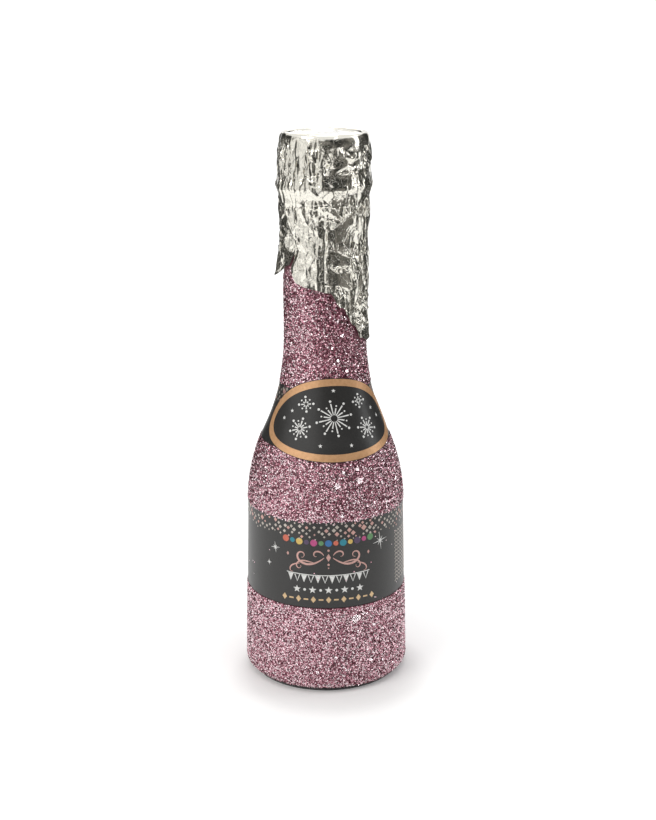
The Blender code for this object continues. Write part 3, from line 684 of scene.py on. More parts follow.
# %% A coat of flakes
SUNK_DEPTH = -0.17 * MM
SUNK_RANGE = 0.24 * MM
BIG_SHARE = 0.012
BIG_SIZE = 1.7
TINT_BASE = 0.24
TINT_BY_DEPTH = 0.48
TINT_SPREAD = 0.38
GLINT_SPOTS = [
    (8.6, 79.5, 0.95), (26.6, 80.6, 0.95), (25.6, 84.5, 0.55), (14.0, 84.0, 0.5), (52.0, 90.0, 0.5),
    (66.0, 77.0, 0.5), (50.0, 70.5, 0.5), (12.0, 68.6, 0.45), (20.6, 29.0, 1.30), (22.6, 29.3, 1.10),
    (27.0, 30.5, 0.5), (36.0, 25.0, 0.45), (44.0, 22.5, 0.45), (33.0, 11.5, 0.55), (7.0, 14.5, 0.45),
    (-6.0, 8.5, 0.5), (18.0, 122.0, 0.45), (30.0, 118.0, 0.45), (24.0, 131.0, 0.4), (10.0, 126.5, 0.4),
]  # degrees, height and reach in mm of spots where flakes lie together and mirror the small lamp
GLINT_SIZE = 1.45
GLINT_LIFT = 0.10 * MM
GLINT_SPREAD = 0.05
LONE_LIFT = 0.08 * MM
LONE_GLINTS = (math.radians(2.0), math.radians(72.0))
LONE_SHARE = 0.0035
# Painted shade on the front of the neck: how much darker the tint gets, and where.
NECK_PAINTED_SHADE = 0.25
NECK_SHADE_LOW = 62.0 * MM  # from here up, the front of the neck gets a darker tint: painted shade
NECK_SHADE_RISE = 45.0 * MM
NECK_SHADE_TURN = math.radians(8.0)
NECK_SHADE_WIDTH = math.radians(32.0)


def lamp_normal(centre, random):
    """The way a flake faces when it mirrors the small lamp to a viewer in front, nearly."""
    to_lamp = unit(np.array(studio_place(*GLINT_PLACE))[None, :] - centre)
    to_viewer = unit(np.array(CAMERA_PLACE)[None, :] - centre)
    return unit(to_lamp + to_viewer + random.normal(0.0, GLINT_SPREAD, centre.shape))


def glitter_coat(name, low, high, keep, body, seed):
    """A coat of flakes between two heights, where keep(angle, height) is true."""
    random = np.random.default_rng(seed)
    angle, height = flake_places(low, high, FLAKE_PITCH, random)
    kept = keep(angle, height)
    angle, height = angle[kept], height[kept]
    out, side, up = wall_axes(angle, height)
    sunk = random.random(len(angle))
    offset = SUNK_DEPTH + SUNK_RANGE * sunk
    place = round_points(outer_radius(height), angle, height)
    size = FLAKE_RADIUS * random.uniform(0.82, 1.12, len(angle))
    size[random.random(len(angle)) < BIG_SHARE] *= BIG_SIZE
    normal = tilted(out, side, up, FLAKE_TILT, random)
    # Painted shade: the tint grows darker on the front of the shoulder and neck, more so higher up.
    deep = np.clip((height - NECK_SHADE_LOW) / NECK_SHADE_RISE, 0.0, 1.0)
    painted_shade = NECK_PAINTED_SHADE * deep * np.exp(-((angle - NECK_SHADE_TURN) / NECK_SHADE_WIDTH) ** 2)
    tint = TINT_BASE - painted_shade + TINT_BY_DEPTH * sunk + random.normal(0.0, TINT_SPREAD, len(angle))
    tint = np.clip(tint, 0.0, 1.0)
    for degrees, z, reach in GLINT_SPOTS:
        spot = round_points(outer_radius(z * MM), math.radians(degrees), z * MM)
        lit = np.linalg.norm(place - spot, axis=1) < reach * MM
        normal[lit] = lamp_normal(place[lit], random)
        # Painted highlight as well as a real glint: these flakes get the palest tint.
        tint[lit], offset[lit], size[lit] = 1.0, GLINT_LIFT, GLINT_SIZE * FLAKE_RADIUS
    facing = (angle > LONE_GLINTS[0]) & (angle < LONE_GLINTS[1])
    lone = facing & (random.random(len(angle)) < LONE_SHARE)
    normal[lone] = lamp_normal(place[lone], random)
    # Painted highlight: the lone glints get the palest tint too.
    tint[lone], offset[lone] = 1.0, LONE_LIFT
    corners = flake_hexagons(place + out * offset[:, None], normal, up, size, random)
    return flakes_from(name, corners, tint, body, flake_film)


print("glint spots:", len(GLINT_SPOTS))

# %% [markdown]
# ## The torn edge of the foil
# The foil sheet was wrapped round the neck, so its lower edge is a torn slope that runs lower on the
# right. Its left edge lies on top of the sheet's own far end, which sticks out below as a small
# dark flap. The glitter stops just under that edge, so the edge is set down first.

# %% Foil edges
FOIL_CLEAR = 0.4 * MM
FOIL_START = -71.0  # degrees from the front, where the top layer's left edge begins
FOIL_END = 335.0  # where the sheet's far end stops, tucked under the top layer
TOP_LAYER_FROM = 311.0  # from here on the top layer hangs lower than the far end
FOIL_TEAR = [
    (-49, 153.8), (-35, 149.0), (5, 146.7), (21, 141.1), (41, 134.0), (51, 129.1), (70, 127.2),
    (105, 129.0), (150, 140.0), (215, 150.0), (255, 151.2), (280, 150.5), (305, 155.0),
    (322, 160.0), (335, 163.0),
]  # degrees and height in mm of the torn edge
FOIL_FOLD = [
    (150.0, -49.0), (154.5, -49.0), (161.3, -38.4), (167.9, -50.6), (174.5, -59.0), (181.0, -70.8),
    (201.0, -71.0),
]  # height in mm and degrees of the top layer's left edge


def smooth_step(value, start, end):
    """0 before start, 1 after end, smooth between."""
    t = np.clip((value - start) / (end - start), 0.0, 1.0)
    return t * t * (3.0 - 2.0 * t)


def tear_height(degrees):
    """Height of the foil's torn edge; angles past 300 are the sheet's far end."""
    at = np.array(FOIL_TEAR)
    degrees = np.clip(degrees, at[0, 0], at[-1, 0])
    i = np.clip(np.searchsorted(at[:, 0], degrees, side="right") - 1, 0, len(at) - 2)
    return (at[i, 1] + (at[i + 1, 1] - at[i, 1]) * smooth_step(degrees, at[i, 0], at[i + 1, 0])) * MM


def lowest_foil(angle):
    """Height of the lowest foil at an angle, over both layers."""
    degrees = np.degrees(angle) % 360.0
    front = np.where(degrees > 180.0, degrees - 360.0, degrees)
    return np.where(degrees > TOP_LAYER_FROM, tear_height(front), tear_height(degrees))


print("foil edge at the front in mm:", round(float(tear_height(0.0)) / MM, 1))

# %% [markdown]
# ## The oval label's place
# The oval was cut flat and then pressed on the shoulder, which is nearly a cone there. Laying flat
# points round that cone gives the egg-like outline of the real one without any drawing by hand.

# %% Wrapping the oval
OVAL_HALF_WIDTH = 27.5 * MM
OVAL_HALF_HEIGHT = 15.0 * MM
OVAL_Z = 101.8 * MM
OVAL_TURN = math.radians(9.4)
OVAL_TILT = math.radians(-0.7)


def oval_cone():
    """How the cone under the oval leans, and the distance from its tip to the oval's middle."""
    reach = OVAL_HALF_HEIGHT / 2.0
    fall = float(outer_radius(OVAL_Z - reach) - outer_radius(OVAL_Z + reach))
    lean = math.atan(fall / (2.0 * reach))
    return lean, float(outer_radius(OVAL_Z)) / math.sin(lean)


CONE_LEAN, CONE_TIP = oval_cone()


def oval_wrap(across, up, offset):
    """Where a point of the flat oval lies on the shoulder, offset outwards."""
    across, up = rotated(np.asarray(across, float), np.asarray(up, float), OVAL_TILT)
    distance = np.hypot(across, CONE_TIP - up)
    angle = np.arctan2(across, CONE_TIP - up) / math.sin(CONE_LEAN) + OVAL_TURN
    height = OVAL_Z + (CONE_TIP - distance) * math.cos(CONE_LEAN)
    return round_points(outer_radius(height) + offset, angle, height)


def inside_oval(angle, height, grow):
    """True where a place on the bottle lies under the oval, grown by a margin."""
    distance = CONE_TIP - (height - OVAL_Z) / math.cos(CONE_LEAN)
    turn = (angle - OVAL_TURN) * math.sin(CONE_LEAN)
    across, up = distance * np.sin(turn), CONE_TIP - distance * np.cos(turn)
    return (across / (OVAL_HALF_WIDTH + grow)) ** 2 + (up / (OVAL_HALF_HEIGHT + grow)) ** 2 < 1.0


print("oval's left end:", [round(float(v) / MM, 1) for v in oval_wrap(-OVAL_HALF_WIDTH, 0.0, 0.0)])

# %% [markdown]
# ## Two coats of glitter
# The shell and the twist sleeve were dipped apart, and the sleeve turns, so each has a coat of its
# own that rides on its own body. The shell's coat leaves out what paper and foil cover, all but a
# narrow overlap that no one can see under.

# %% Glitter on the bottle and the sleeve
BAND_OVERLAP = 0.05 * MM
OVAL_OVERLAP = 1.2 * MM
COAT_TOP = 154.5 * MM


def on_bottle(angle, height):
    """Where the bottle shows glitter: not on paper, nor under the foil."""
    band = (height > BAND_LOW - BAND_OVERLAP) & (height < BAND_HIGH + BAND_OVERLAP)
    foil = height > lowest_foil(angle) - FOIL_CLEAR
    return ~band & ~foil & ~inside_oval(angle, height, -OVAL_OVERLAP)


def everywhere(angle, height):
    """Keeps every flake."""
    return np.ones(len(angle), bool)


glitter_coat("bottle_glitter", LABEL_TOP + 0.2 * MM, COAT_TOP, on_bottle, "bottle", 7)
glitter_coat("sleeve_glitter", SLEEVE_LOW + 0.3 * MM, SEAM_Z + 0.1 * MM, everywhere, "twist_base", 8)

# %% [markdown]
# ## The paper labels
# The wide label and the narrow band are strips of black coated paper, wrapped round once so that
# their ends nearly meet at the back. Coated paper has a soft gloss and lies a little uneven over the
# glue, and that unevenness is what makes its reflection wander.

# %% Black coated paper
black_paper = finish("black_paper", (0.024, 0.0235, 0.023), 0.36)
fibre = grain(black_paper, 2600.0, 4.0)
mottle(black_paper, fibre, (0.3, (0.019, 0.0185, 0.018)), (0.7, (0.031, 0.030, 0.029)))
bump(black_paper, fibre, 0.02 * MM, 0.6)
bump(black_paper, grain(black_paper, 130.0, 2.0), 0.10 * MM, 0.5)

# %% Wrapped strips
LABEL_DROP = 0.15 * MM
PAPER = 0.15 * MM
LABEL_LOW = 33.85 * MM
STRIP_END = math.pi - math.radians(1.5)
STRIP_COLUMNS = 260
STRIP_ROW = 1.6 * MM
RIPPLES = 7
RIPPLE = 0.004 * MM
END_LIFT = 0.12 * MM
END_REACH = 0.03  # radians over which each end lifts


def strip(name, low, high, seed):
    """A paper strip round the bottle: a thin closed sheet with its ends at the back."""
    random = np.random.default_rng(seed)
    rows = max(8, int((high - low) / STRIP_ROW))
    around, heights = np.linspace(-STRIP_END, STRIP_END, STRIP_COLUMNS), np.linspace(low, high, rows)
    angle, height = np.meshgrid(around, heights, indexing="ij")
    ripple = np.zeros_like(angle)
    for _ in range(RIPPLES):
        waves, slant, phase = random.integers(3, 14), random.normal(0, 120), random.random() * 6.28
        ripple += np.sin(waves * angle + slant * height + phase) * RIPPLE
    lift = np.exp(-((np.abs(angle) - STRIP_END) / END_REACH) ** 2) * END_LIFT
    radius = outer_radius(height) - LABEL_DROP + ripple + lift
    outer = round_points(radius, angle, height).reshape(-1, 3)
    inner = round_points(radius - PAPER, angle, height).reshape(-1, 3)
    return put(name, *sheet(outer, inner, STRIP_COLUMNS, rows), black_paper, "bottle", "black_label")


body_paper = strip("body_paper", LABEL_LOW, LABEL_TOP, 21)
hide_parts("body_label")
band_paper = strip("band_paper", BAND_LOW, BAND_HIGH, 22)
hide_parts("shoulder_band")

# %% [markdown]
# Glitter never stays where it was glued. Some loose flakes cling to the paper, and many more creep
# over the edges of the two strips, which is why those edges look ragged on the real one. The label's
# lower edge stays clean here, because the twist seam runs just under it.

# %% Stray flakes
CREEP = 0.30 * MM
STRAY_TILT = math.radians(6.0)
ON_BODY_LABEL = 0.65


def stray_flakes(count, creeping, seed):
    """Loose flakes that cling to the two paper strips, and some that creep over their edges."""
    random = np.random.default_rng(seed)
    angle = random.uniform(-math.pi, math.pi, count + 3 * creeping)
    on_body = random.random(count) < ON_BODY_LABEL
    share = random.random(count)
    heights = [np.where(
        on_body, LABEL_LOW + share * (LABEL_TOP - LABEL_LOW), BAND_LOW + share * (BAND_HIGH - BAND_LOW),
    )]
    for edge, inwards in ((LABEL_TOP, -1.0), (BAND_HIGH, -1.0), (BAND_LOW, 1.0)):
        heights.append(edge + inwards * np.abs(random.normal(0.0, CREEP, creeping)))
    height = np.concatenate(heights)
    kept = ~inside_oval(angle, height, 1.0 * MM)
    angle, height = angle[kept], height[kept]
    out, side, up = wall_axes(angle, height)
    normal = tilted(out, side, up, STRAY_TILT, random)
    place = round_points(outer_radius(height) - LABEL_DROP + 0.07 * MM, angle, height)
    size = FLAKE_RADIUS * random.uniform(0.7, 1.0, len(angle))
    corners = flake_hexagons(place, normal, up, size, random)
    return flakes_from("stray_glitter", corners, random.uniform(0.4, 1.0, len(angle)), "bottle", flake_film)


stray_flakes(90, 150, 9)

# %% [markdown]
# ## The oval label
# It is a thicker piece of the same paper with a broad copper-gold line printed round it, and a hair
# of black left outside the line where it was cut. Its corners were cut a little slimmer than a true
# ellipse. Rings of points that shrink towards the middle let the sheet bend with the shoulder.

# %% Copper-gold print
copper_print = finish("copper_print", (0.66, 0.375, 0.19), 0.38, metallic=0.35)
specks = grain(copper_print, 900.0, 3.0)
mottle(copper_print, specks, (0.3, (0.61, 0.335, 0.165)), (0.7, (0.74, 0.43, 0.225)))
bump(copper_print, specks, 0.02 * MM, 0.5)

# %% Oval sheets
OVAL_LIFT = 0.30 * MM
OVAL_PAPER = 0.16 * MM
OVAL_FACE = OVAL_LIFT + OVAL_PAPER
OVAL_SIDES = 180
OVAL_CORNER_CUT = 0.028  # the cut label is this share slimmer than an ellipse between its four ends


def oval_ring(inset):
    """The oval's outline moved inwards, on the flat label."""
    turn = np.linspace(0.0, 2.0 * math.pi, OVAL_SIDES, endpoint=False)
    reach = 1.0 - OVAL_CORNER_CUT * np.sin(2.0 * turn) ** 2
    return reach * np.cos(turn) * (OVAL_HALF_WIDTH - inset), reach * np.sin(turn) * (OVAL_HALF_HEIGHT - inset)


def oval_loops(loops, low, high, filled):
    """Points and faces of a closed sheet made of rings, outermost first; filled closes the middle."""
    layers = [np.concatenate([oval_wrap(x, y, lift) for x, y in loops]) for lift in (high, low)]
    count = len(layers[0])
    front = grid(len(loops), OVAL_SIDES, round_rows=True)[:, [0, 3, 2, 1]]
    s = np.arange(OVAL_SIDES)
    n = (s + 1) % OVAL_SIDES
    rim = np.stack([s + count, n + count, n, s], axis=1)
    faces = np.concatenate([front, front[:, ::-1] + count, rim]).tolist()
    last = count - OVAL_SIDES
    if filled:
        faces += [(last + s).tolist(), (last + count + s[::-1]).tolist()]
    else:
        faces += np.stack([last + s, last + n, last + n + count, last + s + count], axis=1).tolist()
    return np.concatenate(layers), faces


x, y = oval_ring(0.0)
loops = [(x, y)] + [(x * share, y * share) for share in np.linspace(0.985, 0.02, 26)]
points, faces = oval_loops(loops, OVAL_LIFT, OVAL_FACE, True)
oval_paper = put("oval_paper", points, faces, black_paper, "bottle", "black_label")
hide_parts("neck_label")

loops = [oval_ring(inset * MM) for inset in (0.22, 0.30, 0.9, 1.5, 2.1, 2.72, 2.80)]
points, faces = oval_loops(loops, OVAL_FACE - 0.02 * MM, OVAL_FACE + 0.05 * MM, False)
oval_border = put("oval_border", points, faces, copper_print, "bottle", "gold_print")
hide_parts("neck_label_border")

# %% [markdown]
# ## Printed ornament
# The labels carry party ornament in raised metallic ink: rows of small diamonds, coloured dots,
# stars, scrolls and a firework. Each shape is drawn flat in millimetres and laid on the label through
# one mapping, as a thin raised patch of ink, so it bends with the paper and stays crisp when close.

# %% Flat shapes
def patch(points):
    """A shape with one face, from its outline."""
    points = np.asarray(points, float)
    return points, [list(range(len(points)))]


def diamond(x, y, wide, tall):
    """A lozenge."""
    return patch([(x + wide / 2, y), (x, y + tall / 2), (x - wide / 2, y), (x, y - tall / 2)])


def dot(x, y, radius, sides=20):
    """A round spot."""
    turn = np.linspace(0, 2 * math.pi, sides, endpoint=False)
    return patch(np.stack([x + radius * np.cos(turn), y + radius * np.sin(turn)], axis=1))


def star(x, y, radius, points=5, waist=0.42):
    """A star with its first point upwards."""
    steps = np.radians(90.0) + np.arange(2 * points) * math.pi / points
    reach = np.where(np.arange(2 * points) % 2 == 0, radius, radius * waist)
    return patch(np.stack([x + reach * np.cos(steps), y + reach * np.sin(steps)], axis=1))


def stroke(line, widths):
    """A pen stroke along points, with a width at each."""
    line = np.asarray(line, float)
    widths = np.broadcast_to(np.asarray(widths, float), (len(line),))
    along = np.gradient(line, axis=0)
    along /= np.linalg.norm(along, axis=1, keepdims=True) + 1e-12
    side = np.stack([-along[:, 1], along[:, 0]], axis=1) * widths[:, None] / 2
    outline = np.concatenate([line - side, (line + side)[::-1]])
    last = len(outline) - 1
    return outline, [[i, i + 1, last - i - 1, last - i] for i in range(len(line) - 1)]


def rays(x, y, turn, reach, widths):
    """A straight stroke that leaves a middle at a turn, between the reaches given."""
    return stroke(np.array([[x, y]]) + reach[:, None] * np.array([[math.cos(turn), math.sin(turn)]]), widths)


def centred_row(count, pitch):
    """For each place of a row about x = 0: its number, whether that is even, and its x."""
    return [(k, k % 2 == 0, (k - (count - 1) / 2) * pitch) for k in range(count)]


print("flat shapes ready")

# %% [markdown]
# Real ink is a few hundredths of a millimetre thick. Each shape gets a top face at that height, a
# foot just inside the paper, and walls between. The two mappings say where a flat point lies: round
# a strip from a chosen angle, or on the oval from its middle.

# %% Printing on paper
INK = 0.05 * MM
INK_FOOT = -0.03 * MM


def print_on(name, shapes, wrap, material, slot):
    """Lays flat shapes in mm on a label as thin raised ink; wrap(x, y, lift) gives their place."""
    points, faces, first = [], [], 0
    for outline, inner in shapes:
        count = len(outline)
        x, y = outline[:, 0] * MM, outline[:, 1] * MM
        points += [wrap(x, y, INK), wrap(x, y, INK_FOOT)]
        for face in inner:
            faces.append([first + i for i in face])
            faces.append([first + count + i for i in reversed(face)])
        for i in range(count):
            j = (i + 1) % count
            faces.append([first + i, first + count + i, first + count + j, first + j])
        first += 2 * count
    return put(name, np.concatenate(points), faces, material, "bottle", slot, smooth=False)


def on_strip(angle, height):
    """A mapping for a wrapped strip: x round it from an angle, y up from a height."""
    def wrap(x, y, lift):
        z = height + y
        turn = angle + x / float(outer_radius(height))
        return round_points(outer_radius(z) - LABEL_DROP + lift, turn, z)
    return wrap


def on_oval(x, y, lift):
    """A mapping for the oval label, x and y from its middle."""
    return oval_wrap(x, y, OVAL_FACE + lift)


def ink(name, colour, roughness=0.34, metallic=0.5):
    """A printed metallic or plain ink with faint mottling."""
    made = finish(name, colour, roughness, metallic=metallic)
    darker, lighter = tuple(0.86 * c for c in colour), tuple(min(1.0, 1.1 * c) for c in colour)
    mottle(made, grain(made, 1500.0, 2.0), (0.3, darker), (0.7, lighter))
    return made


silver_ink = ink("silver_ink", (0.52, 0.47, 0.42))
rose_ink = ink("rose_ink", (0.60, 0.36, 0.32))
gold_ink = ink("gold_ink", (0.66, 0.47, 0.27))
white_ink = ink("white_ink", (0.80, 0.80, 0.78), 0.5, 0.0)

# %% [markdown]
# ## Diamonds along the top edges
# Both strips have a shower of small diamonds that thins out downwards. Staggered rows with random
# gaps, sizes and slips give that look, and the few large ones are rose instead of silver.

# %% Rows of diamonds
BODY_ROWS = [
    (0.80, 1.00, 0.15), (1.95, 1.35, 0.10), (3.15, 1.40, 0.08), (4.35, 1.20, 0.15), (5.45, 0.95, 0.25),
    (6.45, 0.65, 0.45),
]  # depth and size in mm, and share of gaps
BAND_ROWS = [
    (0.9, 1.3, 0.20), (2.1, 1.3, 0.12), (3.3, 1.2, 0.12), (4.5, 1.1, 0.15), (5.7, 1.0, 0.20),
    (6.9, 0.85, 0.30), (8.1, 0.65, 0.50),
]
BACK_GAP = 3.0
LARGE_SHARE = 0.14
LARGE_SIZE = 1.5
ROSE_SHARE = 0.18


def diamond_rows(random, circumference, rows, step):
    """Staggered rows of diamonds below an edge, smaller row by row."""
    shapes = {"silver": [], "rose": []}
    count = 2 * int(circumference / step / 2)
    for row, (depth, size, gaps) in enumerate(rows):
        for k in range(count):
            if random.random() < gaps:
                continue
            x = (k + 0.5 * (row % 2)) * circumference / count - circumference / 2
            large = random.random() < LARGE_SHARE
            wide = size * random.uniform(0.60, 1.15) * (LARGE_SIZE if large else 1.0)
            colour = "rose" if large or random.random() < ROSE_SHARE else "silver"
            place = (x + random.normal(0.0, 0.22), -depth + random.normal(0.0, 0.16))
            shapes[colour].append(diamond(*place, wide, wide))
    return shapes


random = np.random.default_rng(31)
for name, edge, rows, step in (("body", LABEL_TOP, BODY_ROWS, 2.75), ("band", BAND_HIGH, BAND_ROWS, 2.6)):
    around = 2.0 * math.pi * float(outer_radius(edge)) / MM - BACK_GAP
    shapes = diamond_rows(random, around, rows, step)
    print_on(f"{name}_diamonds_silver", shapes["silver"], on_strip(0.0, edge), silver_ink, "black_label")
    print_on(f"{name}_diamonds_rose", shapes["rose"], on_strip(0.0, edge), rose_ink, "gold_print")

# %% [markdown]
# ## The label's artwork
# Below the diamonds come a garland of coloured dots, a pen scroll, bunting with stars and a gold row.
# Each colour of ink is a mesh of its own, as each is a pass of its own in printing, so it can have
# its own finish.

# %% A garland of coloured dots
DOT_COLOURS = {
    "teal": (0.03, 0.26, 0.34), "yellow": (0.72, 0.50, 0.14), "magenta": (0.52, 0.08, 0.24),
    "blue": (0.04, 0.17, 0.42), "green": (0.13, 0.30, 0.13), "coral": (0.66, 0.16, 0.10),
    "violet": (0.10, 0.065, 0.13),
}
DOT_ORDER = ["coral", "teal", "yellow", "violet", "magenta", "green", "blue"]
ARTWORK_TURN = math.radians(2.0)

dots = {name: [] for name in DOT_COLOURS}
for k, even, x in centred_row(13, 2.65):
    dots[DOT_ORDER[k % 7]].append(dot(x, -6.9 - 0.9 * math.cos(x / 11.0), 1.25 if even else 0.90))
garland = on_strip(ARTWORK_TURN, LABEL_TOP)
for name, spots in dots.items():
    plain = ink(f"ink_{name}", DOT_COLOURS[name], 0.4, 0.0)
    print_on(f"garland_dot_{name}", spots, garland, plain, "black_label")

# %% [markdown]
# A pen scroll is a line whose curvature changes evenly and whose width swells and fades, as a nib's
# does. So it is drawn by walking: the pen turns a little at each step, and each bend says how tight
# it starts and ends.

# %% A pen scroll
PEN_STEP = 0.25
PEN_THINNEST = 0.17


def pen(x, y, heading, bends, mirror, thick):
    """A pen stroke from a point: each bend is a length and how tightly it curves at its two ends."""
    line, turn = [(x, y)], math.radians(heading)
    for length, start, end in bends:
        count = max(2, round(length / PEN_STEP))
        for k in range(count):
            turn += (start + (end - start) * (k + 0.5) / count) * length / count
            x += math.cos(turn) * length / count
            y += math.sin(turn) * length / count
            line.append((x, y))
    line = np.array(line) * np.array([mirror, 1.0])
    share = np.linspace(0.06, 1.0, len(line))
    return stroke(line, np.maximum(PEN_THINNEST, thick * np.sin(np.pi * share) ** 0.8))


PEN_LINES = [
    (1.6, 0.5, -38, [(5.0, 0.02, 0.14), (4.5, 0.14, 0.24), (8.2, 0.24, 1.15)], 0.80),
    (5.0, -1.5, 8, [(3.5, 0.10, -0.12), (3.2, -0.12, -0.45), (4.2, -0.45, -1.6)], 0.55),
    (1.7, 1.4, 62, [(2.6, -0.22, -0.45), (3.8, -0.45, -1.4)], 0.58),
    (10.6, -2.0, -8, [(3.4, -0.06, -0.28), (3.2, -0.28, -1.4)], 0.5),
]  # start in mm, heading in degrees, bends, width in mm
scrolls = [diamond(0.0, 0.6, 1.7, 3.0), dot(0.0, 3.3, 0.42), dot(0.0, -2.1, 0.42), dot(0.0, -3.4, 0.26)]
for mirror in (-1.0, 1.0):
    scrolls += [pen(x, y, heading, bends, mirror, thick) for x, y, heading, bends, thick in PEN_LINES]
    scrolls.append(diamond(mirror * 15.2, 1.2, 1.0, 1.5))
label_middle = on_strip(ARTWORK_TURN, 52.6 * MM)
print_on("label_scroll", scrolls, label_middle, rose_ink, "gold_print")

# %% [markdown]
# Bunting hangs from a string that sags, so its flags follow a shallow parabola, filled and outlined
# in turn. The star row and the gold row under it alternate two small shapes in the same way.

# %% Bunting, stars and a gold row
FLAG_TOP = -6.5
STAR_ROW = -11.9
GOLD_ROW = -15.6

whites, golds = [], []
for k, even, x in centred_row(12, 2.55):
    top = FLAG_TOP + 0.35 * ((k - 5.5) / 5.5) ** 2
    if even:
        whites.append(patch([(x - 1.05, top), (x, top - 2.8), (x + 1.05, top)]))
    else:
        whites.append(stroke([(x - 0.95, top), (x, top - 2.6), (x + 0.95, top)], 0.36))
string = np.linspace(-15.6, 15.6, 32)
whites.append(stroke(np.stack([string, -6.25 + 0.35 * (string / 14.0) ** 2], axis=1), 0.30))
for k, even, x in centred_row(9, 2.9):
    whites.append(star(x, STAR_ROW, 1.45) if even else dot(x, STAR_ROW, 0.50))
for k, even, x in centred_row(13, 2.75):
    dash = np.stack([np.linspace(x - 0.85, x + 0.85, 4), np.full(4, GOLD_ROW)], axis=1)
    golds.append(diamond(x, GOLD_ROW, 1.9, 2.5) if even else stroke(dash, 0.55))
print_on("label_bunting", whites, label_middle, white_ink, "black_label")
print_on("label_gold_row", golds, label_middle, gold_ink, "gold_print")

# %% [markdown]
# At the label's right edge is a panel of fine silver texture. Fourteen rows of zigzags fill a panel of
# that size and shade, and close up they read as plain ornament. Three sparkles sit beside the garland.

# %% A panel of zigzags, and sparkles
ZIGZAG_ROWS = 14
ZIGZAG_PITCH = 1.45
ZIGZAG_WIDTH = 19

zigzags = []
for row in range(ZIGZAG_ROWS):
    steps = np.arange(ZIGZAG_WIDTH)
    height = row * ZIGZAG_PITCH + 0.45 * np.where(steps % 2, 1.0, -1.0)
    zigzags.append(stroke(np.stack([steps, height], axis=1), 0.30))
print_on("label_zigzags", zigzags, on_strip(math.radians(60.0), 38.4 * MM), silver_ink, "black_label")


def sparkle(x, y, size):
    """A glint with four long rays and four short ones."""
    shapes = [dot(x, y, size * 0.16)]
    for k in range(8):
        reach = np.linspace(0.05, 1.0, 6) * size * (1.0 if k % 2 == 0 else 0.55)
        shapes.append(rays(x, y, math.radians(45.0 * k + 8.0), reach, np.linspace(0.40, 0.06, 6)))
    return shapes


glints = sparkle(20.5, -9.6, 3.4) + sparkle(-20.5, -11.5, 2.0) + sparkle(-23.5, -18.0, 1.1)
print_on("label_sparkles", glints, garland, white_ink, "black_label")

# %% [markdown]
# The oval carries a firework. A burst is a ring of straight rays, long and short in turn, each with a
# dot beyond its end, and smaller bursts and stars fill the space beside the large one.

# %% A firework on the oval
BURSTS = [
    (0.0, 0.4, 5.4, 16, 11.25, 0.22), (-12.4, -2.6, 2.9, 12, 8.0, 0.22), (12.6, -3.0, 3.0, 12, 0.0, 0.22),
    (9.4, 6.6, 1.5, 8, 10.0, 0.3), (-9.6, 6.0, 1.8, 8, 0.0, 0.3),
]  # middle and reach in mm, rays, first ray's degrees, share left open in the middle
SMALL_STARS = [(-18.9, 1.8), (18.9, 1.6), (-5.2, -9.0), (5.6, -9.2), (-15.2, 4.0), (15.6, 4.2), (0.0, 10.4)]


def burst(x, y, size, count, turn, inner):
    """Rays that fly out from a middle, each with a dot at its end."""
    shapes = []
    for k in range(count):
        around = math.radians(turn) + 2.0 * math.pi * k / count
        long = size if k % 2 == 0 else size * 0.68
        shapes.append(rays(x, y, around, np.linspace(inner * size, long, 7), np.linspace(0.30, 0.46, 7)))
        end_x, end_y = x + (long + 0.85) * math.cos(around), y + (long + 0.85) * math.sin(around)
        shapes.append(dot(end_x, end_y, 0.44 if k % 2 == 0 else 0.30, 12))
    return shapes


fireworks = [shape for values in BURSTS for shape in burst(*values)]
fireworks += [star(x, y, 0.75) for x, y in SMALL_STARS]
print_on("oval_fireworks", fireworks, on_oval, white_ink, "black_label")

# %% [markdown]
# ## The foil's metal
# Close up, crushed foil is all small flat facets with a sharp crease round each, far too fine for the
# mesh. So the finish has two sizes of them, made from Voronoi cells: each cell leans by its own
# random amount, and its border is a thin ridge. The mesh says where the foil is crushed and where it
# lies smooth, through a value called crush on its points, and the crumple follows that.

# %% Foil metal
def crumple(material, scale, stretch, lean, ridge):
    """Small flat facets that lean at random, with a fine raised crease round each, in metres high."""
    place = stretched(material, (1.0, 1.0, stretch))
    warp = node(material, "TexNoise", Scale=scale * 0.5, Detail=1.0)
    join(material, place, warp.inputs["Vector"])
    spot = maths(material, "VectorMath", "MULTIPLY_ADD", warp.outputs["Color"], (0.9 / scale,) * 3, place)
    cell = node(material, "TexVoronoi", Scale=scale)
    edge = node(material, "TexVoronoi", feature="DISTANCE_TO_EDGE", Scale=scale)
    join(material, spot, cell.inputs["Vector"])
    join(material, spot, edge.inputs["Vector"])
    tilt = maths(material, "VectorMath", "SUBTRACT", cell.outputs["Color"], (0.5, 0.5, 0.5))
    reach = maths(material, "VectorMath", "SUBTRACT", spot, cell.outputs["Position"])
    plane = maths(material, "VectorMath", "DOT_PRODUCT", tilt, reach)
    crease = remap(material, edge.outputs["Distance"], 0.0, 0.09, ridge, 0.0)
    return maths(material, "Math", "MULTIPLY_ADD", plane, lean, crease)


foil_metal = finish("foil_metal", (0.80, 0.775, 0.70), 0.12, metallic=1.0)
crush = node(foil_metal, "Attribute", attribute_name="crush").outputs["Fac"]
for scale, stretch, lean, ridge in ((300.0, 0.60, 0.50, 0.10 * MM), (800.0, 0.8, 0.22, 0.015 * MM)):
    facet = crumple(foil_metal, scale, stretch, lean, ridge)
    bump(foil_metal, maths(foil_metal, "Math", "MULTIPLY", facet, crush), 1.0)
rubbed = remap(foil_metal, grain(foil_metal, 240.0, 3.0), 0.35, 0.65, 0.06, 0.17)
join(foil_metal, rubbed, shader_of(foil_metal).inputs["Roughness"])

